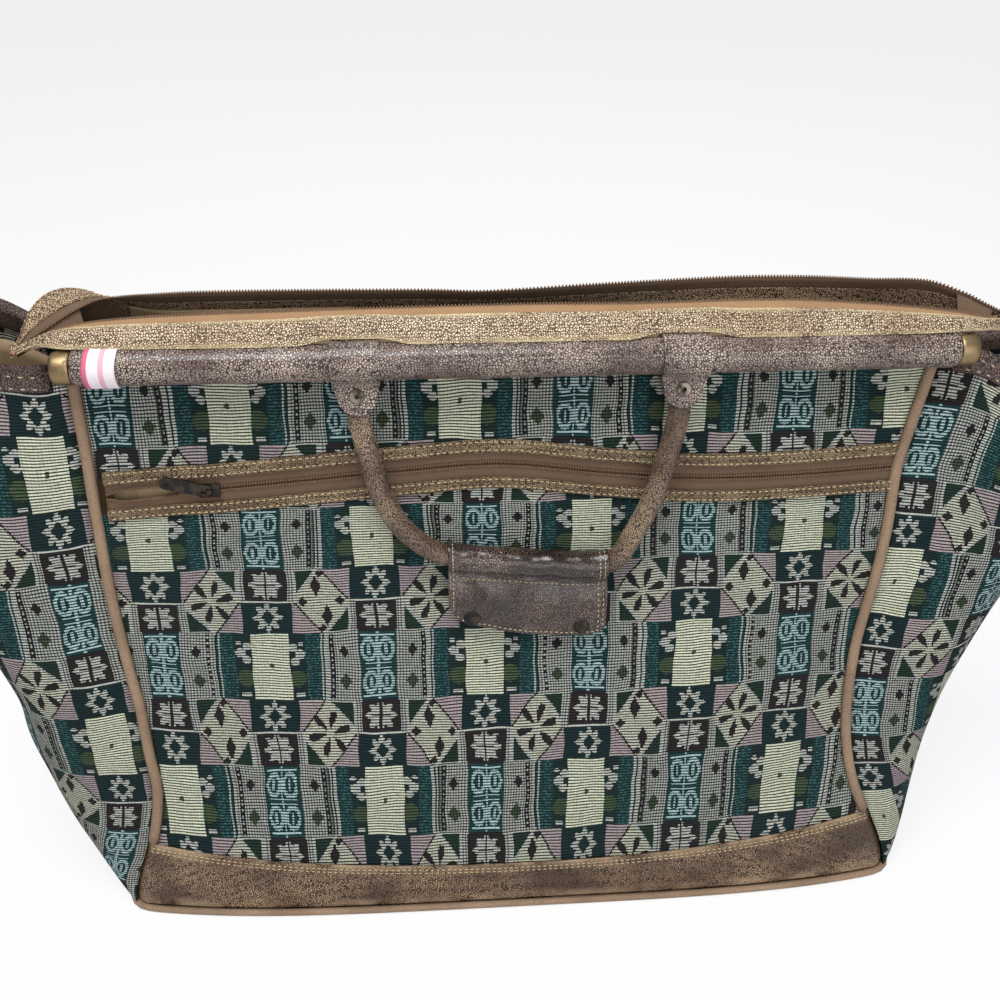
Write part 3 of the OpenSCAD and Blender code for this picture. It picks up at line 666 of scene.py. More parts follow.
    def _scroll(self, paint: Paint, b: Value, far: Value, y: Value, row: Value) -> tuple[Value, Paint]:
        """Lay the light-blue scrolls on teal and the gridded panels beside them.

        Args:
            paint: the colour so far.
            b: distance from the column's middle.
            far: distance from the middle of the scrolls.
            y: millimetres from the cream block's middle, up or down.
            row: where this row of the pattern is.

        Returns:
            The mask of the gridded panels, and the painted colour.
        """
        panel = row * b.within(12.5, 33.0)
        paint = paint.over(panel, self.grey)
        spot = (b - 22.5).size() * (1 / 3.4) + (far - 11).size() * (1 / 4.8)
        fold = (b - 22.0).size() * (1 / 4.2) + (far - 11).size() * (1 / 6.0)
        rungs = (y * (1 / 4.4)).math("FRACT").above(0.5) * b.within(29.2, 30.6)
        ladder = b.within(28.4, 31.4).but(rungs)
        paint = paint.over(panel * fold.below(1.0) * y.above(0.0), self.olive)
        paint = paint.over(panel * (spot.below(1.0) * y.below(0.0)).either(ladder), self.plum)
        paint = paint.over(row * b.below(12.5), self.teal)
        wide, high = (b - 5.7) * (1 / 5.3), (far - 11.3) * (1 / 8.8)
        oval = (wide * wide + high * high).math("SQRT")
        hook = (b - 5.7).size().below(0.9) * far.within(8.0, 16.0)
        stem = b.below(0.7).either(far.within(0.8, 1.9) * b.below(9.0))
        stem = stem.either(far.within(20.8, 22.0) * b.below(10.5))
        scroll = oval.within(0.62, 1.0).either(hook).either(stem)
        return panel, paint.over(row * scroll * b.below(12.5), self.blue)


class PebbledGrain:
    """The node group of pebbled leather: rounded pebbles in a dark net of creases, with blotches."""

    def __init__(self) -> None:
        """Build the group."""
        tree, given, out = new_group(
            "Pebbled leather",
            [
                ("Vector", VECTOR),
                ("Scale", NUMBER),
                ("Light", COLOUR),
                ("Dark", COLOUR),
                ("Blotch", COLOUR),
                ("Speckle", NUMBER),
                ("Blotches", NUMBER),
            ],
            [("Colour", COLOUR), ("Height", NUMBER)],
        )
        self.tree = tree
        vector, scale = given.outputs["Vector"], given.outputs["Scale"]
        cells = tree.nodes.new("ShaderNodeTexVoronoi")
        cells.feature = "DISTANCE_TO_EDGE"
        cells.inputs["Randomness"].default_value = 0.85
        tree.links.new(vector, cells.inputs["Vector"])
        tree.links.new(scale, cells.inputs["Scale"])
        net = ramp(Value(tree, cells.outputs["Distance"]), 0.03, 0.21).off()
        patches = ramp(noise_value(tree, vector, 24.0, 3.0), 0.36, 0.66)
        rubbed = noise_value(tree, vector, 90.0, 2.0)
        fine = noise_value(tree, vector, 1300.0, 1.0)
        speckle = net * Value(tree, given.outputs["Speckle"]) * (rubbed * 1.1 + 0.5)
        speckle = (speckle + (fine - 0.5) * 0.35).math("MULTIPLY", 1.0, clamp=True)
        base = Paint(tree, given.outputs["Light"]).over(
            patches * Value(tree, given.outputs["Blotches"]), given.outputs["Blotch"]
        )
        done = base.over(speckle, given.outputs["Dark"])
        tree.links.new(done.socket, out.inputs[0])
        tree.links.new((net.off() + fine * 0.15).socket, out.inputs[1])


class PlainWeave:
    """The node group of plain cloth: a fine over and under weave with soft unevenness."""

    def __init__(self) -> None:
        """Build the group."""
        tree, given, out = new_group(
            "Plain weave",
            [("Vector", VECTOR), ("Pitch", NUMBER), ("Light", COLOUR), ("Dark", COLOUR)],
            [("Colour", COLOUR), ("Height", NUMBER)],
        )
        self.tree = tree
        split = tree.nodes.new("ShaderNodeSeparateXYZ")
        tree.links.new(given.outputs["Vector"], split.inputs[0])
        pitch = Value(tree, given.outputs["Pitch"])
        waves = []
        for i in (0, 1):
            turn = Value(tree, split.outputs[i]).math("DIVIDE", pitch) * (2 * math.pi)
            waves.append(turn.math("SINE"))
        weave = waves[0] * waves[1] * 0.5 + 0.5
        uneven = noise_value(tree, given.outputs["Vector"], 40.0, 3.0)
        shade = (weave * 0.55 + uneven * 0.6).math("MULTIPLY", 0.95, clamp=True)
        done = Paint(tree, given.outputs["Dark"]).over(shade, given.outputs["Light"])
        tree.links.new(done.socket, out.inputs[0])
        tree.links.new(weave.socket, out.inputs[1])


class Thread(Enum):
    """The threads that stitches are sewn with, by their finish."""

    CREAM = "cream_thread"
    BROWN = "brown_thread"


class MaterialKit:
    """Builds the bag's materials from the shared node groups."""

    def __init__(self) -> None:
        """Build the groups that the materials share."""
        self.kilim = KilimCloth().tree
        self.grain = PebbledGrain().tree
        self.weave = PlainWeave().tree

    def start(
        self, name: str, roughness: float, metallic: float = 0.0
    ) -> tuple[Material, Tree, Node]:
        """Start a material with its surface shader.

        Args:
            name: the material's name.
            roughness: how dull the surface is.
            metallic: 1 for bare metal.

        Returns:
            The material, its tree and its surface shader.
        """
        material = bpy.data.materials.new(name)
        material.use_nodes = True
        tree = material.node_tree
        surface = tree.nodes["Principled BSDF"]
        surface.inputs["Roughness"].default_value = roughness
        surface.inputs["Metallic"].default_value = metallic
        return material, tree, surface

    def flat_place(self, tree: Tree) -> tuple[Value, Value]:
        """Return the two numbers of a piece's own UV map."""
        place = tree.nodes.new("ShaderNodeUVMap")
        place.uv_map = "Flat"
        split = tree.nodes.new("ShaderNodeSeparateXYZ")
        tree.links.new(place.outputs[0], split.inputs[0])
        return Value(tree, split.outputs[0]), Value(tree, split.outputs[1])

    def bump(self, tree: Tree, surface: Node, height: Value, depth: float) -> Node:
        """Raise a surface by a height pattern, with depth in millimetres, and return the Bump node."""
        node = tree.nodes.new("ShaderNodeBump")
        node.inputs["Strength"].default_value = 1.0
        node.inputs["Distance"].default_value = depth * MM
        tree.links.new(height.socket, node.inputs["Height"])
        tree.links.new(node.outputs[0], surface.inputs["Normal"])
        return node

    def kilim_cloth(
        self, name: str, shift: tuple[float, float], rise: tuple[float, float, float]
    ) -> Material:
        """Make tapestry cloth whose pattern starts at a given place of its flat piece.

        Args:
            name: the material's name.
            shift: millimetres from the piece's own zero to the middle of a cream block.
            rise: two heights of block middles and the bend of the scale between them.

        Returns:
            The material.
        """
        material, tree, surface = self.start(name, 0.92)
        u, v = self.flat_place(tree)
        across, height = u * 1000 - shift[0], v * 1000
        low, high, bend = rise
        along = (height - low) * (KilimCloth.repeat / (high - low)) - (height - low) * (height - high) * -bend
        along = along - shift[1]
        group = tree.nodes.new("ShaderNodeGroup")
        group.node_tree = self.kilim
        tree.links.new(across.socket, group.inputs[0])
        tree.links.new(along.socket, group.inputs[1])
        solid = tree.nodes.new("ShaderNodeTexCoord").outputs["Object"]
        fade = ramp(noise_value(tree, solid, 9.0, 3.0), 0.3, 0.75) * 0.14
        faded = Paint(tree, group.outputs[0]).over(fade, srgb("2b3c38"))
        tree.links.new(faded.socket, surface.inputs["Base Color"])
        fine = self.bump(tree, surface, Value(tree, group.outputs[1]), 0.6)
        folds = tree.nodes.new("ShaderNodeBump")
        folds.inputs["Distance"].default_value = 5 * MM
        folds.inputs["Strength"].default_value = 0.75
        waves = noise_value(tree, solid, 26.0, 2.0)
        tree.links.new(waves.socket, folds.inputs["Height"])
        tree.links.new(folds.outputs[0], fine.inputs["Normal"])
        surface.inputs["Specular IOR Level"].default_value = 0.12
        return material

    def leather(
        self,
        name: str,
        light: str,
        dark: str,
        blotch: str,
        grain: float = 1.5,
        speckle: float = 0.8,
        blotches: float = 0.6,
        roughness: float = 0.5,
        depth: float = 0.25,
        coat: float = 0.0,
        rim_highlight_and_wear: str = "",
    ) -> Material:
        """Make pebbled leather.

        Args:
            name: the material's name.
            light: colour of the pebbles.
            dark: colour of the creases between them.
            blotch: colour of the larger patches.
            grain: size of a pebble in millimetres.
            speckle: how strongly the creases are darkened.
            blotches: how strongly the patches show.
            roughness: how dull the leather is.
            depth: depth of the creases in millimetres.
            coat: weight of a glossy finish.
            rim_highlight_and_wear: colour of the painted highlight and wear on the long edges, none where
                left out.

        Returns:
            The material.
        """
        material, tree, surface = self.start(name, roughness)
        group = tree.nodes.new("ShaderNodeGroup")
        group.node_tree = self.grain
        place = tree.nodes.new("ShaderNodeTexCoord")
        tree.links.new(place.outputs["Object"], group.inputs["Vector"])
        values = {"Scale": 1000 / grain, "Light": srgb(light), "Dark": srgb(dark), "Blotch": srgb(blotch)}
        for label, value in (values | {"Speckle": speckle, "Blotches": blotches}).items():
            group.inputs[label].default_value = value
        surface.inputs["Specular IOR Level"].default_value = 0.35
        paint = Paint(tree, group.outputs[0])
        # painted highlight and wear: patches of lighter colour along both long edges
        if rim_highlight_and_wear:
            edge = ramp((self.flat_place(tree)[1] - 0.5).size(), 0.3, 0.5)
            patchy = ramp(noise_value(tree, place.outputs["Object"], 45.0, 3.0), 0.4, 0.62)
            paint = paint.over(edge * patchy * 0.7, srgb(rim_highlight_and_wear))
        tree.links.new(paint.socket, surface.inputs["Base Color"])
        rough = Value(tree, group.outputs[1]).math("MULTIPLY_ADD", -0.12, roughness + 0.06, clamp=True)
        tree.links.new(rough.socket, surface.inputs["Roughness"])
        surface.inputs["Coat Weight"].default_value = coat
        surface.inputs["Coat Roughness"].default_value = 0.25
        self.bump(tree, surface, Value(tree, group.outputs[1]), depth)
        return material

    def cloth(self, name: str, light: str, dark: str, pitch: float) -> Material:
        """Make plain woven cloth, thread or tape with the given colours and thread pitch in millimetres."""
        material, tree, surface = self.start(name, 0.9)
        group = tree.nodes.new("ShaderNodeGroup")
        group.node_tree = self.weave
        place = tree.nodes.new("ShaderNodeTexCoord")
        tree.links.new(place.outputs["Object"], group.inputs["Vector"])
        group.inputs["Pitch"].default_value = pitch * MM
        group.inputs["Light"].default_value = srgb(light)
        group.inputs["Dark"].default_value = srgb(dark)
        tree.links.new(group.outputs[0], surface.inputs["Base Color"])
        self.bump(tree, surface, Value(tree, group.outputs[1]), 0.15)
        return material

    def ribbon(self, name: str) -> Material:
        """Make the plain ribbon: off-white with a rose edge and a soft rose stripe."""
        material, tree, surface = self.start(name, 0.6)
        u, v = self.flat_place(tree)
        paint = plain_paint(tree, srgb("e6dbe2"))
        paint = paint.over(u.within(0.5, 0.66), srgb("d8a7b6"))
        paint = paint.over(u.below(0.16), srgb("c65c7a"))
        threads = (u * 150).math("SINE") * (v * 240).math("SINE") * 0.5 + 0.5
        paint = paint.over(threads * 0.18, srgb("7a6a78"))
        tree.links.new(paint.socket, surface.inputs["Base Color"])
        self.bump(tree, surface, threads, 0.1)
        return material

    def metal(self, name: str, bare: str, tarnish: str, roughness: float, cover: float) -> Material:
        """Make old metal, bare in places and tarnished in others.

        Args:
            name: the material's name.
            bare: colour of the metal.
            tarnish: colour of its dull film.
            roughness: how dull the bare metal is.
            cover: share of the surface under the film.

        Returns:
            The material.
        """
        material, tree, surface = self.start(name, roughness, 1.0)
        solid = tree.nodes.new("ShaderNodeTexCoord").outputs["Object"]
        film = ramp(noise_value(tree, solid, 160.0, 4.0), 0.72 - cover * 0.5, 0.88 - cover * 0.5)
        paint = plain_paint(tree, srgb(bare)).over(film, srgb(tarnish))
        tree.links.new(paint.socket, surface.inputs["Base Color"])
        rough = film * 0.35 + roughness
        tree.links.new(rough.socket, surface.inputs["Roughness"])
        shine = film.math("MULTIPLY_ADD", -0.55, 1.0)
        tree.links.new(shine.socket, surface.inputs["Metallic"])
        self.bump(tree, surface, noise_value(tree, solid, 420.0, 3.0), 0.05)
        return material


@dataclass(frozen=True)
class Finishes:
    """The materials of the bag's pieces."""

    lower_cloth: Material
    upper_cloth: Material
    rear_cloth: Material
    left_cloth: Material
    right_cloth: Material
    lining: Material
    board: Material
    band: Material
    # painted shade: the rear band's leather is a darker copy of the band leather, standing in for the shade
    # inside the mouth
    shaded_rear_band: Material
    trim: Material
    sleeve: Material
    handle: Material
    grip: Material
    kick: Material
    hem: Material
    welt: Material
    tape: Material
    dark_tape: Material
    teeth: Material
    dark_metal: Material
    rivet: Material
    brass: Material
    steel: Material
    cream_thread: Material
    brown_thread: Material
    ribbon: Material


def make_finishes() -> Finishes:
    """Build every material of the bag."""
    kit = MaterialKit()
    return Finishes(
        lower_cloth=kit.kilim_cloth("lower_cloth", (-95.0, 4.0), (94.0, 289.0, 0.00101)),
        upper_cloth=kit.kilim_cloth("upper_cloth", (-37.0, 0.0), (378.0, 573.0, 0.0)),
        rear_cloth=kit.kilim_cloth("rear_cloth", (-95.0, 0.0), (94.0, 289.0, 0.0)),
        left_cloth=kit.kilim_cloth("left_cloth", (-280.0, 51.0), (94.0, 289.0, 0.0)),
        right_cloth=kit.kilim_cloth("right_cloth", (270.0, 154.0), (94.0, 289.0, 0.0)),
        lining=kit.cloth("lining_cloth", "b39c7c", "8d7658", 0.9),
        board=kit.cloth("base_board", "8f7b61", "6e5c47", 1.2),
        # the band's light rim colour is a painted highlight together with wear
        band=kit.leather(
            "band_leather", "dac6aa", "4c3828", "bda482", 1.45, 1.2, 0.7, 0.5, 0.35, rim_highlight_and_wear="d8c69c"
        ),
        # painted shade: the same leather as the front band, painted darker for the shade on the rear band
        shaded_rear_band=kit.leather("shaded_rear_band_leather", "c9af8e", "3a291e", "9a7c5c", 1.45, 1.2, 0.6, 0.55, 0.3),
        trim=kit.leather("trim_leather", "a59271", "2a1c14", "6b5238", 1.2, 1.35, 0.8, 0.5, 0.3),
        sleeve=kit.leather("sleeve_leather", "bba89b", "261816", "6f5a54", 1.6, 1.2, 0.9, 0.33, 0.3, 0.35),
        handle=kit.leather("handle_leather", "b8a084", "201310", "5e4432", 1.05, 1.35, 0.9, 0.42, 0.3, 0.2),
        grip=kit.leather("grip_leather", "85695a", "140a08", "3f2c24", 1.4, 1.5, 1.0, 0.2, 0.8, 0.75),
        kick=kit.leather(
            "kick_leather", "ab8c6c", "22140d", "5c422e", 1.5, 1.3, 0.95, 0.44, 0.35, 0.1, rim_highlight_and_wear="b39a7c"
        ),
        hem=kit.leather("hem_leather", "7a635c", "1a100f", "43312d", 1.5, 1.2, 0.7, 0.5, 0.25),
        welt=kit.leather("welt_leather", "9c836b", "5a4636", "7b6450", 1.0, 0.5, 0.7, 0.5, 0.12),
        tape=kit.cloth("zip_tape", "a5825f", "7d6042", 0.8),
        dark_tape=kit.cloth("dark_zip_tape", "705945", "4a382a", 0.8),
        teeth=kit.cloth("zip_coil", "7d614a", "4c3828", 0.8),
        dark_metal=kit.metal("dark_metal", "4b4239", "1b1714", 0.36, 0.7),
        rivet=kit.metal("rivet_metal", "7f776b", "38322b", 0.3, 0.5),
        brass=kit.metal("cap_brass", "8f7c5b", "62543b", 0.42, 0.3),
        steel=kit.metal("rod_steel", "9a9a9a", "6a6a6a", 0.35, 0.3),
        cream_thread=kit.cloth("cream_thread", "cdbb96", "a08a66", 0.5),
        brown_thread=kit.cloth("brown_thread", "8b6c50", "5a4230", 0.5),
        ribbon=kit.ribbon("ribbon"),
    )


def dress(
    piece: Piece, finish: Material, slot: str, replaces: Sequence[str] = ()
) -> Piece:
    """Give a piece its material, hide the CAD nodes it replaces and log its slot.

    Args:
        piece: the piece.
        finish: its material.
        slot: the record's material slot.
        replaces: the CAD nodes it stands for.

    Returns:
        The same piece.
    """
    piece.data.materials.clear()
    piece.data.materials.append(finish)
    if replaces:
        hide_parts(*replaces)
    LOG.info("%s: %s in %s", piece.name, slot, finish.name)
    return piece


def dress_node(node: str, finish: Material) -> None:
    """Give a CAD node a better material."""
    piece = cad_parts[node]
    piece.data.materials.clear()
    piece.data.materials.append(finish)
    LOG.info("%s: its own solid in %s", node, finish.name)


# The bag's shape


# Height, then how far a gusset or its corner seams stand out there
LEFT_SWELL = (
    (0, 0), (60, 6), (100, 3), (135, -3), (170, -11), (215, -11), (270, -6), (340, 0), (404, 0)
)
RIGHT_SWELL = ((0, 0), (30, -6), (60, -11), (130, -13), (200, -9), (300, -3), (404, 0))
LEFT_SEAM = (
    (0, 0), (45, 5), (95, 13), (134, 19.5), (176, 20),
    (215, 19.5), (280, 15.5), (334, 11), (384, 8), (404, 6),
)
RIGHT_SEAM = (
    (0, 0), (58, 2.5), (95, 1.5), (122, 0), (204, -6),
    (277, -6), (325, -9), (355, -6), (378, -3), (404, 0),
)


@dataclass(frozen=True)
class BagShape:
    """Surfaces of the cloth body in millimetres: walls, end gussets and the lines sewn on them."""

    base_length: float = 556.0
    base_depth: float = 230.0
    top_length: float = 528.0
    top_depth: float = 44.0
    seam_height: float = 404.0
    pinch: float = 37.0
    belly: float = 10.0
    belly_top: float = 0.76
    corner_in: float = 12.0
    flare: float = 125.0
    flare_height: float = 260.0
    lobe_puff: float = 30.0
    left_rise: float = 14.0
    right_sag: float = 24.0
    end_bow: float = 9.0
    seam_gap: float = 3.8
    rod_length: float = 560.0
    low: float = 5.5

    def half_length(self, v: float, side: float = 0) -> float:
        """Return how far the corner seams lie from the middle at height share v, at one end or evenly."""
        k = min(max(v, 0.0), 1.0)
        s = max(math.sin(math.pi * k**0.64), 0.0)
        even = mix(self.base_length, self.top_length, k) / 2 - self.pinch * s ** mix(3.1, 0.9, k)
        if side == 0:
            return even
        return even + smooth_line(LEFT_SEAM if side < 0 else RIGHT_SEAM, k * self.seam_height)[0]

    def half_depth(self, v: float) -> float:
        """Return half the depth at height share v, before the belly."""
        return mix(self.base_depth, self.top_depth, v) / 2

    def corner_back(self, v: float) -> float:
        """Return how far the corner seams lie behind the middle of a wall."""
        return self.corner_in * max(1 - v, 0.0) ** 3

    def bulge(self, v: float) -> float:
        """Return how far the middle of a wall swells at height share v."""
        if not 0 < v < self.belly_top:
            return 0.0
        return self.belly * math.sin(math.pi * v / self.belly_top) ** 1.3

    def front(self, t: float, v: float) -> Vector:
        """Return the front wall at t from -1 to 1 along it and height share v."""
        y = -self.half_depth(v) - self.bulge(v) * (1 - t * t) + self.corner_back(v) * t**4
        return Vector((t * (self.half_length(v, t) - self.seam_gap), y, v * self.seam_height))

    def front_at(self, x: float, z: float, out: float = 0.0) -> Vector:
        """Return the front wall at a place along X and a height, moved outwards by some millimetres."""
        v = z / self.seam_height
        t = x / (self.half_length(v, x) - self.seam_gap)
        lean = (self.base_depth - self.top_depth) / 2 / self.seam_height
        outwards = Vector((0, -1, lean)).normalized()
        return self.front(t, v) + outwards * out

    def reach(self, v: float) -> float:
        """Return how far a gusset puffs out past the corner seams."""
        k = min(max((v * self.seam_height - self.low) / self.flare_height, 0.0), 1.0)
        return mix(self.end_bow, self.flare, (1 - (1 - k) ** 2) ** 0.75)

    def lobe(self, side: int, u: float, v: float) -> Vector:
        """Return a gusset's surface.

        Args:
            side: -1 for the left end, 1 for the right end.
            u: share of the way round it from the front seam to the rear one.
            v: share of its height.

        Returns:
            The point in millimetres.
        """
        a = math.pi * min(max(u, 0.0), 1.0)
        x = self.half_length(v, side) + self.seam_gap
        x += (self.reach(v) - self.seam_gap) * max(math.sin(a), 0.0) ** 0.8
        x += smooth_line(LEFT_SWELL if side < 0 else RIGHT_SWELL, v * self.seam_height)[0] * math.sin(a)
        depth = self.half_depth(v) - self.corner_back(v)
        y = -depth * signed_power(math.cos(a), 0.8) - self.lobe_puff * v * math.sin(2 * a)
        lift = (self.left_rise if side < 0 else -self.right_sag) * max(v, 0.0) ** 4
        z = v * self.seam_height + lift * ease((x - self.rod_length / 2 - 3) / 50)
        return Vector((side * x, y, z))

    def kick_top(self, t: float) -> float:
        """Return the height of the kick band's top edge."""
        return 38 + 22 * t * t


SHAPE = BagShape()

# Place along X and height of the pocket zip's middle line
POCKET_WAVE = (
    (-262, 322.0), (-215, 325.0), (-195, 325.5), (-137, 329.5), (-75, 334.0),
    (-12, 337.0), (55, 329.5), (116, 324.0), (181, 324.5), (262, 329.0),
)


def pocket_height(x: float) -> float:
    """Return the height of the pocket zip's middle line at a place along X."""
    return smooth_line(POCKET_WAVE, x)[0]


def crumple(x: float, z: float, size: float, seed: float) -> float:
    """Return the small swells of hanging cloth, in millimetres."""
    wide = noise.noise(Vector((x / 95.0, z / 120.0, seed)))
    fine = noise.noise(Vector((x / 38.0 + 7, z / 60.0, seed + 3)))
    return size * (wide + 0.4 * fine)


def numeric_normal(place: Place, u: float, v: float) -> Vector:
    """Return the outward direction of a surface by small steps."""
    e = 0.002
    du = place(min(u + e, 1.0), v) - place(max(u - e, 0.0), v)
    dv = place(u, min(v + e, 1.0)) - place(u, max(v - e, 0.0))
    return du.cross(dv).normalized()


def cloth_area(place: Place, columns: int, rows: int) -> tuple[float, float, float]:
    """Measure a cloth piece as it was cut.

    Args:
        place: its surface in millimetres.
        columns: steps along u.
        rows: steps along v.

    Returns:
        Its longest row, its longest column and its area, in metres.
    """
    grid = [[place(i / columns, j / rows) for j in range(rows + 1)] for i in range(columns + 1)]
    width = max(sum((grid[i + 1][j] - grid[i][j]).length for i in range(columns)) for j in range(rows + 1))
    height = max(sum((grid[i][j + 1] - grid[i][j]).length for j in range(rows)) for i in range(columns + 1))
    area = 0.0
    for i in range(columns):
        for j in range(rows):
            a, b, c, d = grid[i][j], grid[i + 1][j], grid[i + 1][j + 1], grid[i][j + 1]
            area += ((b - a).cross(c - a).length + (c - a).cross(d - a).length) / 2
    return width * MM, height * MM, area * MM * MM


@dataclass
class Seamstress:
    """Lays rows of stitches over the bag's surfaces."""

    finishes: Finishes

    def row(self, place: Callable[[float], Stitch], length: float, pitch: float = 4.0) -> list[Spot]:
        """Return the spots of one row of stitches.

        Args:
            place: point and outward direction at a share of the row.
            length: the row's length in millimetres.
            pitch: distance from stitch to stitch.

        Returns:
            Centre, direction and outward direction of each stitch.
        """
        count = max(int(length / pitch), 1)
        spots = []
        for i in range(count):
            k = (i + 0.5) / count
            here, out = place(k)
            ahead, _ = place(min(k + 0.3 / count, 1.0))
            behind, _ = place(max(k - 0.3 / count, 0.0))
            spots.append((here, ahead - behind, out))
        return spots

    def sew(
        self,
        name: str,
        body: str,
        rows: Sequence[Sequence[Spot]],
        slot: str,
        thread: Thread = Thread.CREAM,
        sizes: tuple[float, float, float] = (1.55, 0.5, 0.4),
    ) -> Piece:
        """Make one piece of several rows of stitches."""
        spots = [spot for row in rows for spot in row]
        finish = getattr(self.finishes, thread.value)
        return dress(beads_mesh(name, body, spots, sizes), finish, slot)


@dataclass
class Assembly:
    """A sub-assembly of the bag, with the finishes and the seamstress that it uses."""

    finishes: Finishes
    seamstress: Seamstress


@dataclass
class ClothBody(Assembly):
    """The tapestry walls, the end gussets and the lining."""

    cloth: float = 2.2
    lining: float = 0.8
    wall_low: float = 4.0
    zip_edge: float = 12.0
    lining_low: float = 7.5
    arc_rows: int = 30
    arc_steps: int = 60

    def _sheet(
        self,
        name: str,
        place: Place,
        flat: Flat,
        size: tuple[int, int],
        thickness: float,
        finish: Material,
        slot: str,
        node: str,
    ) -> Piece:
        piece = sheet_mesh(name, "bag", size[0], size[1], place, flat)
        thicken(piece, thickness)
        dress(piece, finish, slot, (node,))
        width, height, area = cloth_area(place, size[0], size[1])
        return piece

    def _wall(self, t: float, z: float, seed: float, size: float = 2.2) -> Vector:
        """Return a wall with its swells, as the front one."""
        v = z / SHAPE.seam_height
        point = SHAPE.front(t, v)
        hold = (1 - abs(t) ** 3) * math.sin(math.pi * min(max(v, 0.0), 1.0)) ** 0.6
        point.y -= (crumple(point.x, z, size, seed) + self._tucks(point.x, z)) * hold
        return point

    def _tucks(self, x: float, z: float) -> float:
        """Return the small folds that run down from the top corners of a wall, in millimetres."""
        high = ease((z - 270) / 110)
        drop = SHAPE.seam_height - z
        left = math.exp(-(((x + 235 + drop * 0.12) / 16) ** 2)) - 0.7 * math.exp(-(((x + 210) / 12) ** 2))
        right = math.exp(-(((x - 236 - drop * 0.10) / 13) ** 2)) - 0.8 * math.exp(-(((x - 212) / 12) ** 2))
        low = 1.6 * math.exp(-(((x + 150) / 60) ** 2)) * math.sin((z - x * 0.3) / 17.0) * ease((150 - z) / 80)
        return (left + right) * 2.4 * high + low

    def walls(self) -> None:
        """Build the front wall below and above the pocket zip, and the rear wall."""
        low, top = self.wall_low, SHAPE.seam_height

        def below(u: float, v: float) -> Vector:
            """Return the front cloth under the zip."""
            t = mix(-1, 1, u)
            x = t * (SHAPE.half_length(0.81, t) - SHAPE.seam_gap)
            return self._wall(t, mix(low, pocket_height(x) - self.zip_edge, v), 1.0)

        def above(u: float, v: float) -> Vector:
            """Return the front cloth over the zip."""
            t = mix(-1, 1, u)
            x = t * (SHAPE.half_length(0.81, t) - SHAPE.seam_gap)
            return self._wall(t, mix(pocket_height(x) + self.zip_edge, top, v), 1.0, 1.2)

        def behind(u: float, v: float) -> Vector:
            """Return the rear cloth."""
            p = self._wall(mix(1, -1, u), mix(low, top, v), 5.0)
            return Vector((p.x, -p.y, p.z))

        def flat_of(place: Place) -> Flat:
            """Return the flat place of a wall's points."""

            def flat(u: float, v: float) -> tuple[float, float]:
                """Return a point's place along X and its height."""
                p = place(u, v)
                return p.x * MM, p.z * MM

            return flat

        f = self.finishes
        for name, place, size, finish, node in (
            ("front_lower_cloth", below, (150, 100), f.lower_cloth, "front_lower_panel"),
            ("front_upper_cloth", above, (150, 24), f.upper_cloth, "front_upper_panel"),
            ("rear_cloth", behind, (150, 120), f.rear_cloth, "rear_panel"),
        ):
            self._sheet(name, place, flat_of(place), size, self.cloth, finish, "tapestry", node)

    def _end(self, side: int, u: float, v: float, seed: float) -> Vector:
        """Return a gusset with its folds."""
        p = SHAPE.lobe(side, u, v)
        hold = math.sin(math.pi * u) ** 0.5 * math.sin(math.pi * min(max(v, 0.0), 1.0)) ** 0.5
        out = Vector((side * math.sin(math.pi * u), -math.cos(math.pi * u), 0.0))
        swell = crumple(u * 260, p.z, 5.0, seed)
        fold = 3.0 * math.sin(u * 16 + p.z / 60.0 + seed) * v
        return p + out * ((swell + fold) * hold)

    def _arcs(self, side: int) -> list[list[float]]:
        """Return a gusset's lengths round its rows, in metres, from its front seam."""
        rows, steps = self.arc_rows, self.arc_steps
        table = []
        for j in range(rows + 1):
            points = [SHAPE.lobe(side, i / steps, j / rows) for i in range(steps + 1)]
            lengths = [0.0]
            for a, b in zip(points, points[1:]):
                lengths.append(lengths[-1] + (b - a).length * MM)
            table.append(lengths)
        return table

    def gussets(self) -> None:
        """Build the two end gussets."""
        low = SHAPE.low / SHAPE.seam_height
        for side, name, seed in ((-1, "left", 2.0), (1, "right", 9.0)):

            def place(u: float, v: float) -> Vector:
                """Return the end's cloth."""
                share = u if side > 0 else 1 - u
                return self._end(side, share, mix(low, 1.0, v), seed)

            arcs = self._arcs(side)

            def flat(u: float, v: float) -> tuple[float, float]:
                """Return a point's way round the end and its height."""
                share, high = u if side > 0 else 1 - u, mix(low, 1.0, v)
                along, up = share * self.arc_steps, high * self.arc_rows
                i, j = min(int(along), self.arc_steps - 1), min(int(up), self.arc_rows - 1)
                p, q = along - i, up - j
                arc = mix(mix(arcs[j][i], arcs[j][i + 1], p), mix(arcs[j + 1][i], arcs[j + 1][i + 1], p), q)
                return side * (0.26 + arc), high * SHAPE.seam_height * MM

            finish = self.finishes.left_cloth if side < 0 else self.finishes.right_cloth
            node = f"{name}_gusset"
            self._sheet(f"{name}_end_cloth", place, flat, (110, 110), self.cloth, finish, "tapestry", node)

    def _line(self, name: str, place: Place, size: tuple[int, int]) -> None:
        """Make the lining of one wall or end."""
        sheet, node, finish = f"{name}_lining_cloth", f"{name}_lining", self.finishes.lining
        self._sheet(sheet, place, lambda u, v: (u, v), size, self.lining, finish, "lining", node)

    def linings(self) -> None:
        """Build the beige lining of the walls and the ends."""
        floor = self.lining_low
        for side, name in ((1, "front"), (-1, "rear")):

            def wall(u: float, v: float) -> Vector:
                """Return a wall's lining."""
                t = mix(-0.975, 0.975, u) * side
                p = self._wall(t, mix(floor, 403.5, v), 1.0, 1.0)
                return Vector((p.x, (p.y + 8.2) * side, p.z))

            self._line(name, wall, (60, 40))
        for side, name in ((-1, "left"), (1, "right")):

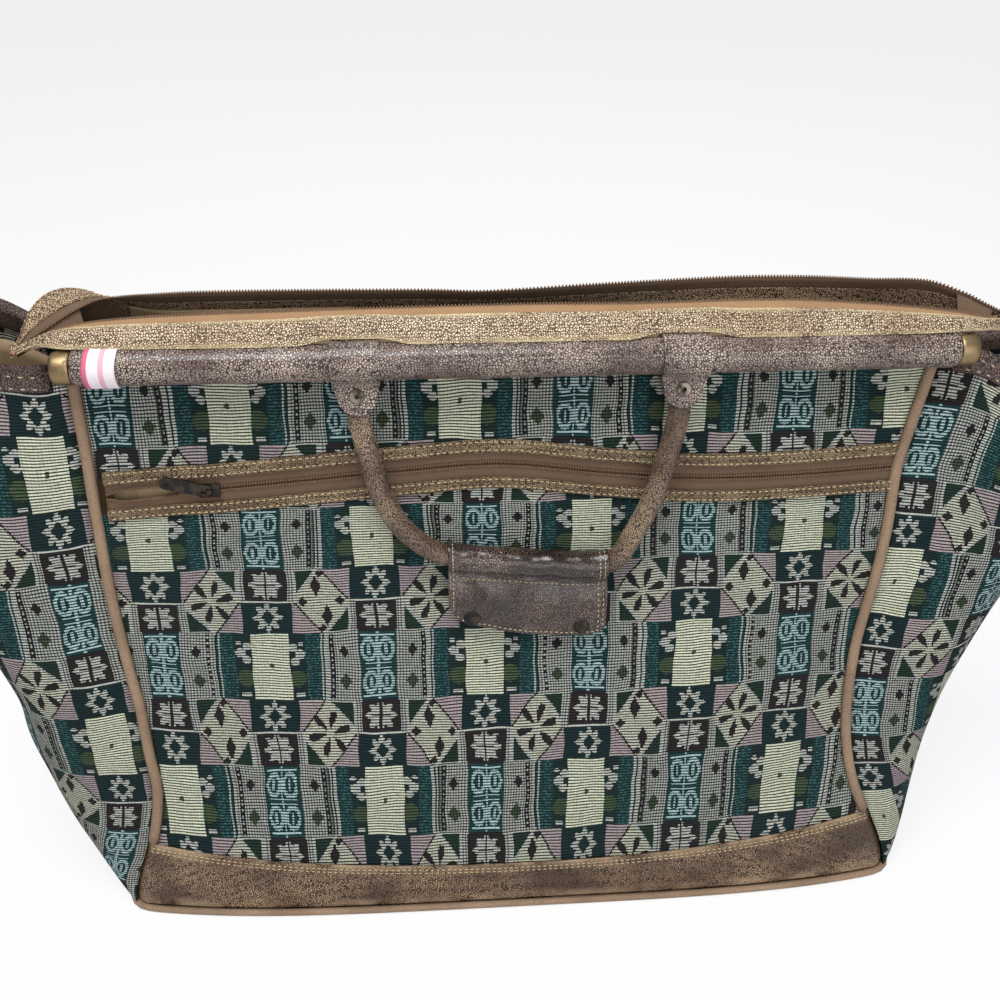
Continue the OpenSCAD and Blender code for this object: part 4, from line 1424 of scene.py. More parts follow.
            def end(u: float, v: float) -> Vector:
                """Return an end's lining."""
                share = mix(0.02, 0.98, u if side > 0 else 1 - u)
                high = mix((floor + 1) / SHAPE.seam_height, 0.945, v)
                p = SHAPE.lobe(side, share, high)
                out = Vector((side * math.sin(math.pi * share), -math.cos(math.pi * share), 0.0))
                return p - out * 4.2

            self._line(name, end, (50, 40))

    def inside(self) -> None:
        """Dress the CAD pieces of the floor and the pocket."""
        dress_node("base_lining", self.finishes.lining)
        dress_node("base_board", self.finishes.board)
        dress_node("pocket_pouch", self.finishes.lining)

    def build(self) -> None:
        """Build the whole cloth body."""
        self.walls()
        self.gussets()
        self.linings()
        self.inside()


@dataclass
class LeatherTrims(Assembly):
    """The kick bands, the welts, the hems of the gussets and the grab strap."""

    band: float = 1.6
    band_low: float = 5.5
    hem: float = 1.5
    hem_depth: float = 13.0
    welt: tuple[float, float] = (3.7, 3.4)
    base_welt: tuple[float, float] = (2.6, 2.5)
    strap_width: float = 25.0
    strap_low: float = 174.0
    strap_high: float = 322.0
    patch: float = 34.0

    def kick_bands(self) -> None:
        """Build the mottled leather along the foot of both walls, with a double row of stitches."""
        for side, name in ((1, "front"), (-1, "rear")):

            def at(t: float, z: float, out: float) -> Vector:
                """Return a point of the band, raised off the wall."""
                seam = SHAPE.half_length(z / SHAPE.seam_height, t * side)
                x = t * side * (seam + 4.6)
                p = SHAPE.front_at(x, z, 2.0 + out)
                p.y += 7.0 * ease((abs(x) - seam + 1.6) / 6.2)
                return p if side > 0 else Vector((p.x, -p.y, p.z))

            def place(u: float, v: float) -> Vector:
                """Return the band with its wear."""
                t = mix(-1, 1, u)
                wear = 0.5 * noise.noise(Vector((t * 9, v * 2, side)))
                return at(t, mix(self.band_low, SHAPE.kick_top(t), v), wear)

            piece = sheet_mesh(f"{name}_kick_leather", "bag", 140, 10, place)
            thicken(piece, self.band)
            round_edges(piece, 0.5)
            dress(piece, self.finishes.kick, "kick_leather", (f"{name}_kick_band",))
            rows = []
            for drop in (3.2, 6.0):

                def stitch(k: float) -> Stitch:
                    """Return a stitch below the top edge."""
                    t = mix(-0.985, 0.985, k)
                    out = Vector((0, -1, 0.2)) if side > 0 else Vector((0, 1, 0.2))
                    return at(t, SHAPE.kick_top(t) - drop, 0.3), out

                rows.append(self.seamstress.row(stitch, 530))
            self.seamstress.sew(f"{name}_kick_stitches", "bag", rows, "kick_leather")

    def base_piping(self) -> None:
        """Build the welt round the base and dress the leather bottom."""
        dress_node("base_panel", self.finishes.kick)
        out = 2.8
        line = []
        count = 60
        for i in range(count + 1):
            p = SHAPE.front(mix(-1, 1, i / count), 0.0)
            line.append(Vector((p.x, p.y, 0)))
        for i in range(17):
            p = SHAPE.lobe(1, i / 16, 0.0)
            line.append(Vector((p.x, p.y, 0)))
        whole = line + [Vector((-p.x, -p.y, 0)) for p in line]
        path = []
        for i, p in enumerate(whole):
            d = (whole[(i + 1) % len(whole)] - whole[i - 1]).normalized()
            path.append(p + Vector((d.y, -d.x, 0)) * out + Vector((0, 0, 2.6)))
        kept = [path[0]]
        for p in path[1:]:
            if (p - kept[-1]).length > 1.5:
                kept.append(p)
        for _ in range(5):
            kept = [(kept[i - 1] + kept[i] * 2 + kept[(i + 1) % len(kept)]) / 4 for i in range(len(kept))]
        piece = tube_mesh("base_welt", "bag", kept, self.base_welt, 12, Vector((0, 0, 1)), closed=True)
        dress(piece, self.finishes.welt, "welt_leather", ("base_piping",))

    def corner_welts(self) -> None:
        """Build the welts up the four corner seams."""
        for x_side, first in ((-1, "left"), (1, "right")):
            for y_side, second in ((-1, "front"), (1, "rear")):
                path = []
                for i in range(61):
                    z = mix(62.0, 397.5, i / 60)
                    v = z / SHAPE.seam_height
                    depth = SHAPE.half_depth(v) - SHAPE.corner_back(v) + 0.3
                    sway = 0.8 * noise.noise(Vector((x_side * 3.0, y_side * 2.0, z / 45.0)))
                    path.append(Vector((x_side * (SHAPE.half_length(v, x_side) + sway), y_side * depth, z)))
                name = f"{second}_{first}_welt"
                piece = tube_mesh(name, "bag", path, self.welt, 12, Vector((0, 1, 0)))
                dress(piece, self.finishes.welt, "welt_leather", (f"{second}_{first}_piping",))

    def hems(self) -> None:
        """Build the folded leather over the top edge of both gussets."""
        for side, name in ((-1, "left"), (1, "right")):

            def place(u: float, v: float) -> Vector:
                """Return the folded hem."""
                share = mix(0.012, 0.988, u if side > 0 else 1 - u)
                top = SHAPE.lobe(side, share, 1.0)
                low = SHAPE.lobe(side, share, 1 - self.hem_depth / SHAPE.seam_height)
                turn = math.pi * share
                out = Vector((side * math.sin(turn), -0.9 * math.cos(turn), 0.1)).normalized()
                if v <= 0.5:
                    k = v * 2
                    point = low.lerp(top, k) + out * 0.9
                else:
                    k = (v - 0.5) * 2
                    point = top.lerp(low, k) - out * 3.3
                over = math.exp(-((v - 0.5) / 0.06) ** 2)
                return point + Vector((0, 0, 1.2 * over))

            piece = sheet_mesh(f"{name}_end_hem", "bag", 70, 20, place)
            thicken(piece, self.hem, 1.0)
            dress(piece, self.finishes.hem, "hem_leather", (f"{name}_gusset_hem",))
            rows = []
            for drop in (3.5, 10.5):

                def stitch(k: float) -> Stitch:
                    """Return a stitch of the hem."""
                    share = mix(0.02, 0.98, k)
                    p = SHAPE.lobe(side, share, 1 - drop / SHAPE.seam_height)
                    out = Vector((side * math.sin(math.pi * share), -0.9 * math.cos(math.pi * share), 0.0))
                    return p + out.normalized() * 2.6, out

                rows.append(self.seamstress.row(stitch, 300))
            self.seamstress.sew(f"{name}_hem_stitches", "bag", rows, "hem_leather")

    def grab_strap(self) -> None:
        """Build the strap on the right gusset and its two patches."""

        def middle(length: float) -> Vector:
            """Return the end's middle line at a height."""
            return SHAPE.lobe(1, 0.5, length / SHAPE.seam_height)

        def strap(u: float, v: float) -> Vector:
            """Return the strap, bowed off the end."""
            along = mix(144, 352, v)
            k = min(max((along - self.strap_low) / (self.strap_high - self.strap_low), 0.0), 1.0)
            p = middle(along)
            width = self.strap_width - 3 * math.sin(math.pi * k)
            return Vector((p.x + 4.0 + 14 * math.sin(math.pi * k) ** 1.2, mix(-width / 2, width / 2, u), p.z))

        piece = sheet_mesh("grab_strap", "bag", 8, 60, strap)
        thicken(piece, 2.0)
        round_edges(piece, 0.5)
        dress(piece, self.finishes.hem, "hem_leather", ("right_end_strap",))
        for word, start in (("lower", self.strap_low - self.patch), ("upper", self.strap_high)):

            def patch(u: float, v: float) -> Vector:
                """Return a patch."""
                p = middle(start + self.patch * v)
                y = mix(-18.5, 18.5, u)
                return Vector((p.x + 1.9 - abs(y / 18.5) ** 2 * 0.8, y, p.z))

            patch_piece = sheet_mesh(f"{word}_strap_patch", "bag", 10, 10, patch)
            thicken(patch_piece, 1.5)
            round_edges(patch_piece, 0.4)
            dress(patch_piece, self.finishes.hem, "hem_leather", ("right_strap_patches",))
        rows = []
        for edge in (-1, 1):

            def stitch(k: float) -> Stitch:
                """Return a stitch of the strap."""
                return strap(0.5 + edge * 0.4, k) + Vector((0.2, 0, 0)), Vector((1, 0, 0))

            rows.append(self.seamstress.row(stitch, 210))
        self.seamstress.sew("strap_stitches", "bag", rows, "hem_leather")

    def build(self) -> None:
        """Build every leather trim of the body."""
        self.kick_bands()
        self.base_piping()
        self.corner_welts()
        self.hems()
        self.grab_strap()


@dataclass
class MouthZip(Assembly):
    """The two leather bands of the mouth with their tapes and coils, which meet at both ends."""

    front_keys: Keys = (
        # place along the band, then the coil line, then the sewn edge
        (0.00, -303, -19.5, 413, -304, -20, 409),
        (0.03, -290, -18.5, 421, -297, -22, 413.5),
        (0.07, -268, -20.0, 430, -284, -28, 420.5),
        (0.12, -238, -21.5, 435, -262, -36, 422.0),
        (0.20, -190, -21.0, 437, -196, -37.5, 421.6),
        (0.35, -105, -18.5, 437.5, -105, -37.5, 421.6),
        (0.50, -2, -15.8, 437.5, -2, -37.5, 421.6),
        (0.62, 72, -17.5, 437.5, 72, -37.5, 421.6),
        (0.78, 165, -16.0, 437.5, 165, -37.5, 421.6),
        (0.88, 230, -22.5, 435, 230, -37.5, 421.6),
        (0.94, 266, -26.5, 432.0, 266, -37, 422.0),
        (0.98, 290, -25.0, 427, 291, -31, 420),
        (1.00, 303, -19.5, 426, 304, -20, 414),
    )
    rear_keys: Keys = (
        (0.00, -303, -16.0, 413, -304, -15, 409),
        (0.02, -295, -13.0, 418, -299, -2, 423),
        (0.04, -286, -10.5, 422.5, -295, 10, 430),
        (0.06, -276, -7.5, 428, -288, 20, 434),
        (0.08, -266, -3.5, 433, -277, 25, 435),
        (0.105, -254, 2.0, 437, -262, 24, 432),
        (0.13, -241, 5.0, 438, -246, 22, 421),
        (0.17, -222, 8.0, 438, -224, 21.5, 410.5),
        (0.22, -195, 10.5, 438, -195, 21.5, 408.5),
        (0.35, -115, 10.0, 438, -115, 21.5, 408.5),
        (0.44, -53, 7.5, 438, -53, 21.5, 408.5),
        (0.49, -20, 4.5, 438, -20, 21.5, 408.5),
        (0.58, 46, 11.5, 438, 46, 21.5, 408.5),
        (0.72, 138, 19.5, 438, 138, 21.5, 408.5),
        (0.79, 183, 18.5, 438, 183, 21.5, 408.5),
        (0.87, 226, 12.5, 438, 226, 21.0, 409),
        (0.93, 262, 8.0, 438, 258, 19.0, 410),
        (0.96, 281, -5.0, 435, 275, 10.0, 412),
        (0.98, 292, -13.0, 431, 290, -6.0, 415),
        (1.00, 303, -16.0, 426, 304, -15.5, 414),
    )
    leather_top: float = 0.71
    coil_at: float = 0.965
    band: float = 2.0
    tape: float = 0.8
    columns: int = 240
    teeth: int = 330

    def surface(self, front: bool, s: float, h: float) -> Vector:
        """Return a mouth band at share s along it and share h from its sewn edge to its coil."""
        row = smooth_line(self.front_keys if front else self.rear_keys, s)
        coil, sewn = Vector(row[0:3]), Vector(row[3:6])
        if front:
            over_loop = ease((36 - abs(abs(sewn.x) - 99)) / 22)
            sewn += Vector((0, 2.8, 2.8)) * over_loop
        point = sewn.lerp(coil, h)
        sag = math.sin(math.pi * h) * (2.2 + 1.2 * noise.noise(Vector((point.x / 70, 2.0, 0.0))))
        return point + Vector((0, -sag * 0.5, sag * 0.7) if front else (0, sag, 0))

    def outward(self, front: bool, s: float, h: float) -> Vector:
        """Return the direction that faces out of the bag at a band."""
        e = 0.004
        along = self.surface(front, min(s + e, 1.0), h) - self.surface(front, max(s - e, 0.0), h)
        up = self.surface(front, s, min(h + 0.05, 1.0)) - self.surface(front, s, max(h - 0.05, 0.0))
        out = along.cross(up).normalized()
        return out if front else -out

    def side(self, front: bool) -> None:
        """Build one band with its tape, coil and stitches."""
        name = "front" if front else "rear"
        f = self.finishes

        def turned(u: float) -> float:
            """Return u so that both bands face outwards."""
            return u if front else 1 - u

        def band(u: float, v: float) -> Vector:
            """Return the leather."""
            return self.surface(front, turned(u), v * self.leather_top)

        def tape(u: float, v: float) -> Vector:
            """Return the tape behind the leather."""
            s, h = turned(u), mix(self.leather_top - 0.06, self.coil_at, v)
            return self.surface(front, s, h) - self.outward(front, s, h) * 0.9

        leather = sheet_mesh(f"{name}_mouth_leather", "bag", self.columns, 10, band)
        thicken(leather, self.band)
        round_edges(leather, 0.5)
        # the rear band wears the darker copy of the band leather, which is painted shade
        dress(leather, f.band if front else f.shaded_rear_band, "speckled_leather", (f"{name}_mouth_band",))
        ribbon = sheet_mesh(f"{name}_mouth_ribbon", "bag", self.columns, 3, tape)
        thicken(ribbon, self.tape)
        dress(ribbon, f.tape if front else f.dark_tape, "zip_tape", (f"{name}_mouth_tape",))
        spots = []
        for i in range(self.teeth):
            s = (i + 0.5) / self.teeth
            centre = self.surface(front, s, self.coil_at + 0.01) - self.outward(front, s, self.coil_at) * 1.1
            up = self.surface(front, s, 1.0) - self.surface(front, s, 0.9)
            spots.append((centre, up.normalized(), self.outward(front, s, self.coil_at)))
        coil = beads_mesh(f"{name}_mouth_coil", "bag", spots, (1.5, 0.75, 1.0))
        dress(coil, f.teeth, "zip_teeth", (f"{name}_mouth_teeth",))
        rows = []
        for h in (0.07, 0.64):

            def stitch(k: float) -> Stitch:
                """Return a stitch along the leather."""
                out = self.outward(front, k, h)
                return self.surface(front, k, h) + out * 0.2, out

            rows.append(self.seamstress.row(stitch, 600))
        stitches = self.seamstress.sew(f"{name}_mouth_stitches", "bag", rows, "speckled_leather")
        if front:
            for piece in (leather, stitches):
                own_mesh(piece)

    def facing(self) -> None:
        """Build the beige strip sewn inside the rear band and the tongues that close the zip's ends."""

        def strip(u: float, v: float) -> Vector:
            """Return the facing strip."""
            s, h = mix(0.14, 0.37, u), mix(0.02, 0.5, v)
            return self.surface(False, s, h) - self.outward(False, s, h) * 2.8

        piece = sheet_mesh("rear_mouth_facing", "bag", 80, 5, strip)
        thicken(piece, self.tape)
        dress(piece, self.finishes.lining, "lining")
        for name, tip, front_end, rear_end in (("left", 0.0, 0.095, 0.085), ("right", 1.0, 0.955, 0.955)):

            def tongue(u: float, v: float) -> Vector:
                """Return a tongue between the two coils."""
                first = self.surface(True, mix(tip, front_end, u), 0.94)
                second = self.surface(False, mix(tip, rear_end, u), 0.94)
                return first.lerp(second, v) - Vector((0, 0, 1.8 + 9 * math.sin(math.pi * v) * u))

            piece = sheet_mesh(f"{name}_mouth_tongue", "bag", 24, 8, tongue)
            thicken(piece, self.tape)
            dress(piece, self.finishes.dark_tape, "zip_tape")

        def gore(u: float, v: float) -> Vector:
            """Return the gore below the rear band."""
            top = self.surface(False, mix(0.01, 0.16, u), 0.03)
            foot = Vector((top.x - 3 * (1 - u), min(top.y, 20.0), 405.0))
            return top.lerp(foot, v) + Vector((0, -0.8, 0))

        piece = sheet_mesh("left_mouth_gore", "bag", 30, 10, gore)
        thicken(piece, self.tape)
        dress(piece, self.finishes.dark_tape, "zip_tape")

    def build(self) -> None:
        """Build both sides of the mouth and dress its slider."""
        self.side(True)
        self.side(False)
        self.facing()
        for node in ("mouth_slider", "mouth_pull"):
            dress_node(node, self.finishes.dark_metal)


@dataclass
class RodPair(Assembly):
    """The two leather-covered rods with their brass caps and the ribbon tag."""

    axis_y: float = 36.0
    axis_z: float = 410.0
    half: float = 280.0
    cap_length: float = 12.5
    sleeve_r: float = 11.2
    tube_r: float = 8.4
    left_short: float = 4.5

    def sleeve(self, side: int, name: str) -> None:
        """Build the leather tube round a rod with the web that is sewn into the top seam."""
        reach = self.half - self.cap_length

        def place(u: float, v: float) -> Vector:
            """Return the sleeve's skin."""
            x = mix(-reach + self.left_short, reach, u)
            a = 2 * math.pi * v + math.pi / 2
            swell = 0.35 * noise.noise(Vector((x / 26.0, math.cos(a) * 2, math.sin(a) * 2 + side)))
            end = 0.9 * max(0.0, 1 - (reach - (abs(x) + (self.left_short if x < 0 else 0))) / 1.6) ** 2
            r = self.sleeve_r + swell - end
            return Vector((x, side * self.axis_y + r * math.cos(a), self.axis_z + r * math.sin(a)))

        piece = sheet_mesh(f"{name}_sleeve_leather", "bag", 260, 40, place, wrap_v=True)
        dress(piece, self.finishes.sleeve, "rod_leather", (f"{name}_rod_sleeve",))

        def web(u: float, v: float) -> Vector:
            """Return the web between sleeve and seam."""
            x = mix(-262, 262, u)
            return Vector((x, side * mix(15.0, 30.0, v if side > 0 else 1 - v), 407.2))

        flap = sheet_mesh(f"{name}_sleeve_web", "bag", 60, 3, web)
        thicken(flap, 2.8)
        dress(flap, self.finishes.sleeve, "rod_leather")

    def rod(self, side: int, name: str) -> None:
        """Build the steel tube inside a sleeve."""
        left, right = -self.half + self.left_short + 1, self.half - 1
        bore, r = 7.2, self.tube_r
        profile = [(bore, left), (r, left + 0.3), (r, right - 0.3), (bore, right), (bore, left)]
        axis = Vector((0, side * self.axis_y, self.axis_z)) * MM
        turn = Matrix.Translation(axis) @ Matrix.Rotation(math.pi / 2, 4, "Y")
        piece = lathe_mesh(f"{name}_rod_tube", "bag", profile, 40, turn)
        dress(piece, self.finishes.steel, "rod_tube", (f"{name}_rod",))

    def caps(self, side: int, name: str) -> None:
        """Build the two brass caps of a rod."""
        profile = [
            (0.0, 0.0), (7.4, 0.0), (8.7, -0.3), (9.6, -1.1), (10.0, -2.2), (10.2, -3.4),
            (10.2, -10.2), (10.0, -11.2), (9.6, -11.9), (8.7, -12.0), (8.6, -6.0),
        ]
        for end, word in ((-1, "left"), (1, "right")):
            turn = Matrix.Rotation(end * math.pi / 2, 4, "Y")
            reach = self.half - (self.left_short if end < 0 else 0)
            place = Matrix.Translation(Vector((end * reach, side * self.axis_y, self.axis_z)) * MM) @ turn
            piece = lathe_mesh(f"{name}_{word}_cap", "bag", profile, 48, place)
            dress(piece, self.finishes.brass, "cap_brass", (f"{name}_rod_caps",))

    def tag(self) -> None:
        """Build the plain ribbon wrapped round the front sleeve."""

        def wrapped(u: float, v: float) -> Vector:
            """Return the ribbon round the sleeve."""
            x = mix(-255.5, -236.5, u) - 1.5 * (0.5 - v) + 0.3 * math.sin(v * 9)
            a = mix(math.radians(-82), math.radians(96), v)
            r = self.sleeve_r + 0.9
            return Vector((x, -self.axis_y - r * math.cos(a), self.axis_z + r * math.sin(a)))

        piece = sheet_mesh("ribbon_tag", "bag", 12, 30, wrapped)
        thicken(piece, 0.6, 0.0)
        dress(piece, self.finishes.ribbon, "tag_cloth", ("rod_tag",))

    def build(self) -> None:
        """Build both rods."""
        for side, name in ((-1, "front"), (1, "rear")):
            self.sleeve(side, name)
            self.caps(side, name)
            self.rod(side, name)
        self.tag()


@dataclass
class HandlePair(Assembly):
    """The two rolled handles with their loops and rivets, and the grip wrap on the front one."""

    half_width: float = 99.0
    bow_line: Keys = (
        # share of the way round, then the place along X and the depth below the rod axis
        (0.00, -99, 15), (0.08, -98, 40), (0.15, -93, 65), (0.21, -87, 85), (0.27, -78.5, 103),
        (0.34, -65, 117.5), (0.41, -48, 127), (0.50, -22, 131), (0.58, 0, 133), (0.65, 20, 135),
        (0.72, 40, 136.5), (0.78, 56, 136), (0.82, 65, 129), (0.86, 72, 117), (0.90, 79.5, 102),
        (0.94, 87, 83), (0.965, 93, 60), (0.985, 98, 36), (1.00, 99, 15),
    )
    radius: float = 6.6
    tilt: float = math.radians(13)
    grip_left: float = -47.0
    grip_right: float = 56.0
    grip_wall: float = 1.8
    flap_line: Keys = (
        (-47, 163.0), (-42, 171.0), (-36, 175.5), (-23, 178.5), (-10, 182.0),
        (6, 184.5), (30, 186.5), (42, 186.5), (51, 185.0), (56, 181.0), (58, 177.0),
    )
    snap_spots: Keys = ((-32.0, 171.0), (39.5, 179.5))

    def hang(self, side: int, p: Vector) -> Vector:
        """Return a point of a handle's own frame, on the rod axis with -Z down it, in the bag's frame."""
        c, s = math.cos(self.tilt), math.sin(self.tilt)
        y = p.y * c + p.z * s
        z = -p.y * s + p.z * c
        return Vector((p.x, side * (RodPair.axis_y - y), RodPair.axis_z + z))

    def bow(self, t: float) -> Vector:
        """Return the handle's middle line at share t, in its own frame."""
        x, down = smooth_line(self.bow_line, t)
        return Vector((x, 0, -down))

    def depth(self, x: float) -> float:
        """Return the handle's depth below the rod axis at a place along X."""
        return smooth_line([row[1:] for row in self.bow_line[2:-2]], x)[0]

    def roll(self, side: int, name: str, body: str) -> None:
        """Build a rolled handle, flat where it enters its loops, with the ridge of its seam."""

        def place(t: float, v: float) -> Vector:
            """Return the roll's skin."""
            here = self.bow(t)
            along = (self.bow(min(t + 0.004, 1.0)) - self.bow(max(t - 0.004, 0.0))).normalized()
            k = ease((-here.z - 38) / 16)
            a = 2 * math.pi * v
            wide = mix(7.0, self.radius, k)
            high = mix(2.0, self.radius, k)
            ridge = 0.9 * k * math.exp(-(((a - math.pi) / 0.16) ** 2))
            grain = 0.3 * noise.noise(Vector((t * 24, math.cos(a) * 2, math.sin(a) * 2 + side)))
            across = Vector((0, 1, 0)).cross(along)
            r = 1 + (ridge + grain * k) / self.radius
            point = here + across * (wide * r * math.cos(a)) + Vector((0, high * r * math.sin(a), 0))
            return self.hang(side, point)

        piece = sheet_mesh(f"{name}_rolled_handle", body, 120, 32, place, wrap_v=True)
        dress(piece, self.finishes.handle, "handle_leather", (f"{name}_handle_roll",))

    def loops(self, side: int, name: str, body: str) -> None:
        """Dress the leather loops and rivets of a handle, and stitch the loops' edges."""
        dress_node(f"{name}_handle_loops", self.finishes.sleeve)
        dress_node(f"{name}_handle_rivets", self.finishes.rivet)
        rows = []
        for centre in (-self.half_width, self.half_width):
            for edge in (-1, 1):

                def stitch(k: float) -> Stitch:
                    """Return a stitch along a loop's edge."""
                    a = mix(math.radians(150), math.radians(-10), k)
                    r = RodPair.sleeve_r + 2.6
                    p = Vector((centre + edge * 12.4, r * math.cos(a), r * math.sin(a)))
                    here = self.hang(side, p)
                    return here, self.hang(side, p + Vector((0, math.cos(a), math.sin(a)))) - here

                rows.append(self.seamstress.row(stitch, 38, 3.6))
        sizes = (1.4, 0.45, 0.35)
        self.seamstress.sew(f"{name}_loop_stitches", body, rows, "handle_leather", Thread.BROWN, sizes)

    def grip(self) -> None:
        """Build the folded grip wrap with its snaps and stitches."""
        thick = self.grip_wall
        r_out = self.radius + 0.7 + thick
        half = thick + 0.2
        start = math.asin(half / r_out)

        def flap_low(x: float) -> float:
            """Return the depth of the flaps' lower edge."""
            return smooth_line(self.flap_line, x)[0]

        def place(u: float, v: float) -> Vector:
            """Return the wrap's skin."""
            x = mix(self.grip_left, self.grip_right, u)
            mid = -self.depth(x)
            slope = self.depth(x + 0.5) - self.depth(x - 0.5)
            stretch = math.sqrt(1 + slope * slope)
            crease = 1.1 * noise.noise(Vector((x / 13, v * 7, 3)))
            crease += 0.4 * noise.noise(Vector((x / 5, v * 16, 8)))
            if v < 0.25 or v > 0.75:
                front = v < 0.25
                k = (v if front else 1 - v) / 0.25
                z = mix(-flap_low(x), mid - r_out * stretch * math.cos(start), k)
                belly = 2.2 * math.sin(math.pi * k) ** 1.5
                y = half + crease + belly
                return self.hang(-1, Vector((x, -y if front else half, z)))
            a = mix(start, 2 * math.pi - start, (v - 0.25) / 0.5)
            r = r_out + crease
            return self.hang(-1, Vector((x, -r * math.sin(a), mid - r * stretch * math.cos(a))))

        piece = sheet_mesh("grip_leather_wrap", "front_handle", 60, 96, place)
        thicken(piece, thick)
        round_edges(piece, 0.5)
        dress(piece, self.finishes.grip, "grip_leather", ("grip_wrap",))
        rows = []

        def along_edge(v: float, k0: float, k1: float) -> Callable[[float], Stitch]:
            """Return the place of stitches along the wrap."""
            def stitch(k: float) -> Stitch:
                """Return a stitch along X."""
                return place(mix(k0, k1, k), v) + Vector((0, -0.3, 0)), Vector((0, -1, 0.2))

            return stitch

        def down_edge(u: float) -> Callable[[float], Stitch]:
            """Return the place of stitches down the wrap."""
            def stitch(k: float) -> Stitch:
                """Return a stitch down the wrap."""
                v = mix(0.02, 0.49, k)
                normal = numeric_normal(place, u, v)
                return place(u, v) + normal * 0.2, normal

            return stitch

        rows.append(self.seamstress.row(along_edge(0.015, 0.04, 0.96), 92, 3.2))
        rows.append(self.seamstress.row(along_edge(0.225, 0.04, 0.96), 92, 3.2))
        for u in (0.03, 0.945, 0.975):
            rows.append(self.seamstress.row(down_edge(u), 62, 3.2))
        self.seamstress.sew("grip_stitches", "front_handle", rows, "grip_leather", sizes=(1.2, 0.4, 0.3))
        self.snaps()

    def snaps(self) -> None:
        """Build the two snaps of the grip: a domed cap in front and a flat one behind."""
        dome = [
            (0.0, 2.1), (1.6, 2.05), (3.2, 1.75), (4.4, 1.25), (5.2, 0.7),
            (5.7, 0.1), (5.8, -0.5), (5.2, -0.7), (0.0, -0.7),
        ]
        flat = [(0.0, 1.0), (1.4, 1.0), (1.8, 0.7), (4.2, 0.8), (5.0, 0.4), (5.2, -0.3), (0.0, -0.4)]
        for word, (x, down) in zip(("left", "right"), self.snap_spots):
            for part, profile, y in (("cap", dome, -2.6), ("back", flat, 2.4)):
                here = self.hang(-1, Vector((x, y, -down)))
                out = (self.hang(-1, Vector((x, y * 2, -down))) - here).normalized()
                turn = out.to_track_quat("Z", "Y").to_matrix().to_4x4()
                piece = lathe_mesh(
                    f"{word}_snap_{part}", "front_handle", profile, 40, Matrix.Translation(here * MM) @ turn
                )
                dress(piece, self.finishes.dark_metal, "dark_metal", (f"grip_snap_{part}s",))

    def build(self) -> None:
        """Build both handles."""
        for side, name in ((-1, "front"), (1, "rear")):
            self.roll(side, name, f"{name}_handle")
            self.loops(side, name, f"{name}_handle")
        self.grip()


@dataclass
class PocketZip(Assembly):
    """The front pocket's zip: trims, tapes and coil along a slightly wavy line."""

    left: float = -260.0
    right: float = 247.0
    trim: float = 1.6
    tape: float = 0.7
    columns: int = 200
    teeth: int = 290

    def parting(self, x: float) -> float:
        """Return how far the zip is parted at a place along X, left of its slider."""
        return 2.6 * ease((-203 - x) / 30) * ease((x + 261) / 12)

    def strip(self, x: float, rise: float, out: float) -> Vector:
        """Return a point beside the pocket line, raised along the wall and moved out of it."""
        return SHAPE.front_at(x, pocket_height(x) + rise, out)

    def _band(
        self,
        name: str,
        low: Callable[[float], float],
        high: Callable[[float], float],
        out: float,
        thickness: float,
        finish: Material,
        slot: str,
        node: str,
    ) -> Piece:
        """Make one strip along the pocket line between two heights above it."""

        def place(u: float, v: float) -> Vector:
            """Return a point of the strip."""
            x = mix(self.left, self.right, u)
            return self.strip(x, mix(low(x), high(x), v), out)

        piece = sheet_mesh(name, "bag", self.columns, 4, place)
        thicken(piece, thickness)
        return dress(piece, finish, slot, (node,))

    def build(self) -> None:
        """Build the zip."""
        f = self.finishes
        trims = (
            ("upper", lambda x: 8.0, lambda x: 16.5),
            ("lower", lambda x: -15.5, lambda x: -8.0),
        )
        for name, low, high in trims:
            made, node = f"pocket_{name}_leather", f"pocket_{name}_trim"
            piece = self._band(made, low, high, 1.9, self.trim, f.trim, "speckled_leather", node)
            round_edges(piece, 0.4)
        tapes = (
            ("upper", lambda x: 0.7 + self.parting(x), lambda x: 11.5),
            ("lower", lambda x: -11.5, lambda x: -0.7 - self.parting(x)),
        )
        for name, low, high in tapes:
            made, node = f"pocket_{name}_ribbon", f"pocket_{name}_tape"
            self._band(made, low, high, -0.6, self.tape, f.dark_tape, "zip_tape", node)
        for sign, name in ((1, "upper"), (-1, "lower")):
            spots = []
            for i in range(self.teeth):
                x = mix(self.left, self.right, (i + 0.5) / self.teeth)
                rise = sign * (1.35 + self.parting(x))
                spots.append((self.strip(x, rise, 0.1), Vector((0, 0.2, 1)), Vector((0, -1, 0.2))))
            coil = beads_mesh(f"pocket_{name}_coil", "bag", spots, (1.3, 0.7, 0.8))
            dress(coil, f.teeth, "zip_teeth", (f"pocket_{name}_teeth",))
        rows = []
        for rise in (9.6, 14.8, -9.5, -14.0):

            def stitch(k: float) -> Stitch:
                """Return a stitch along a trim."""
                x = mix(self.left + 2, self.right - 2, k)
                return self.strip(x, rise, 2.1), Vector((0, -1, 0.2))

            rows.append(self.seamstress.row(stitch, 494))
        self.seamstress.sew("pocket_stitches", "bag", rows, "speckled_leather")
        for node in ("pocket_slider", "pocket_pull"):
            dress_node(node, f.dark_metal)


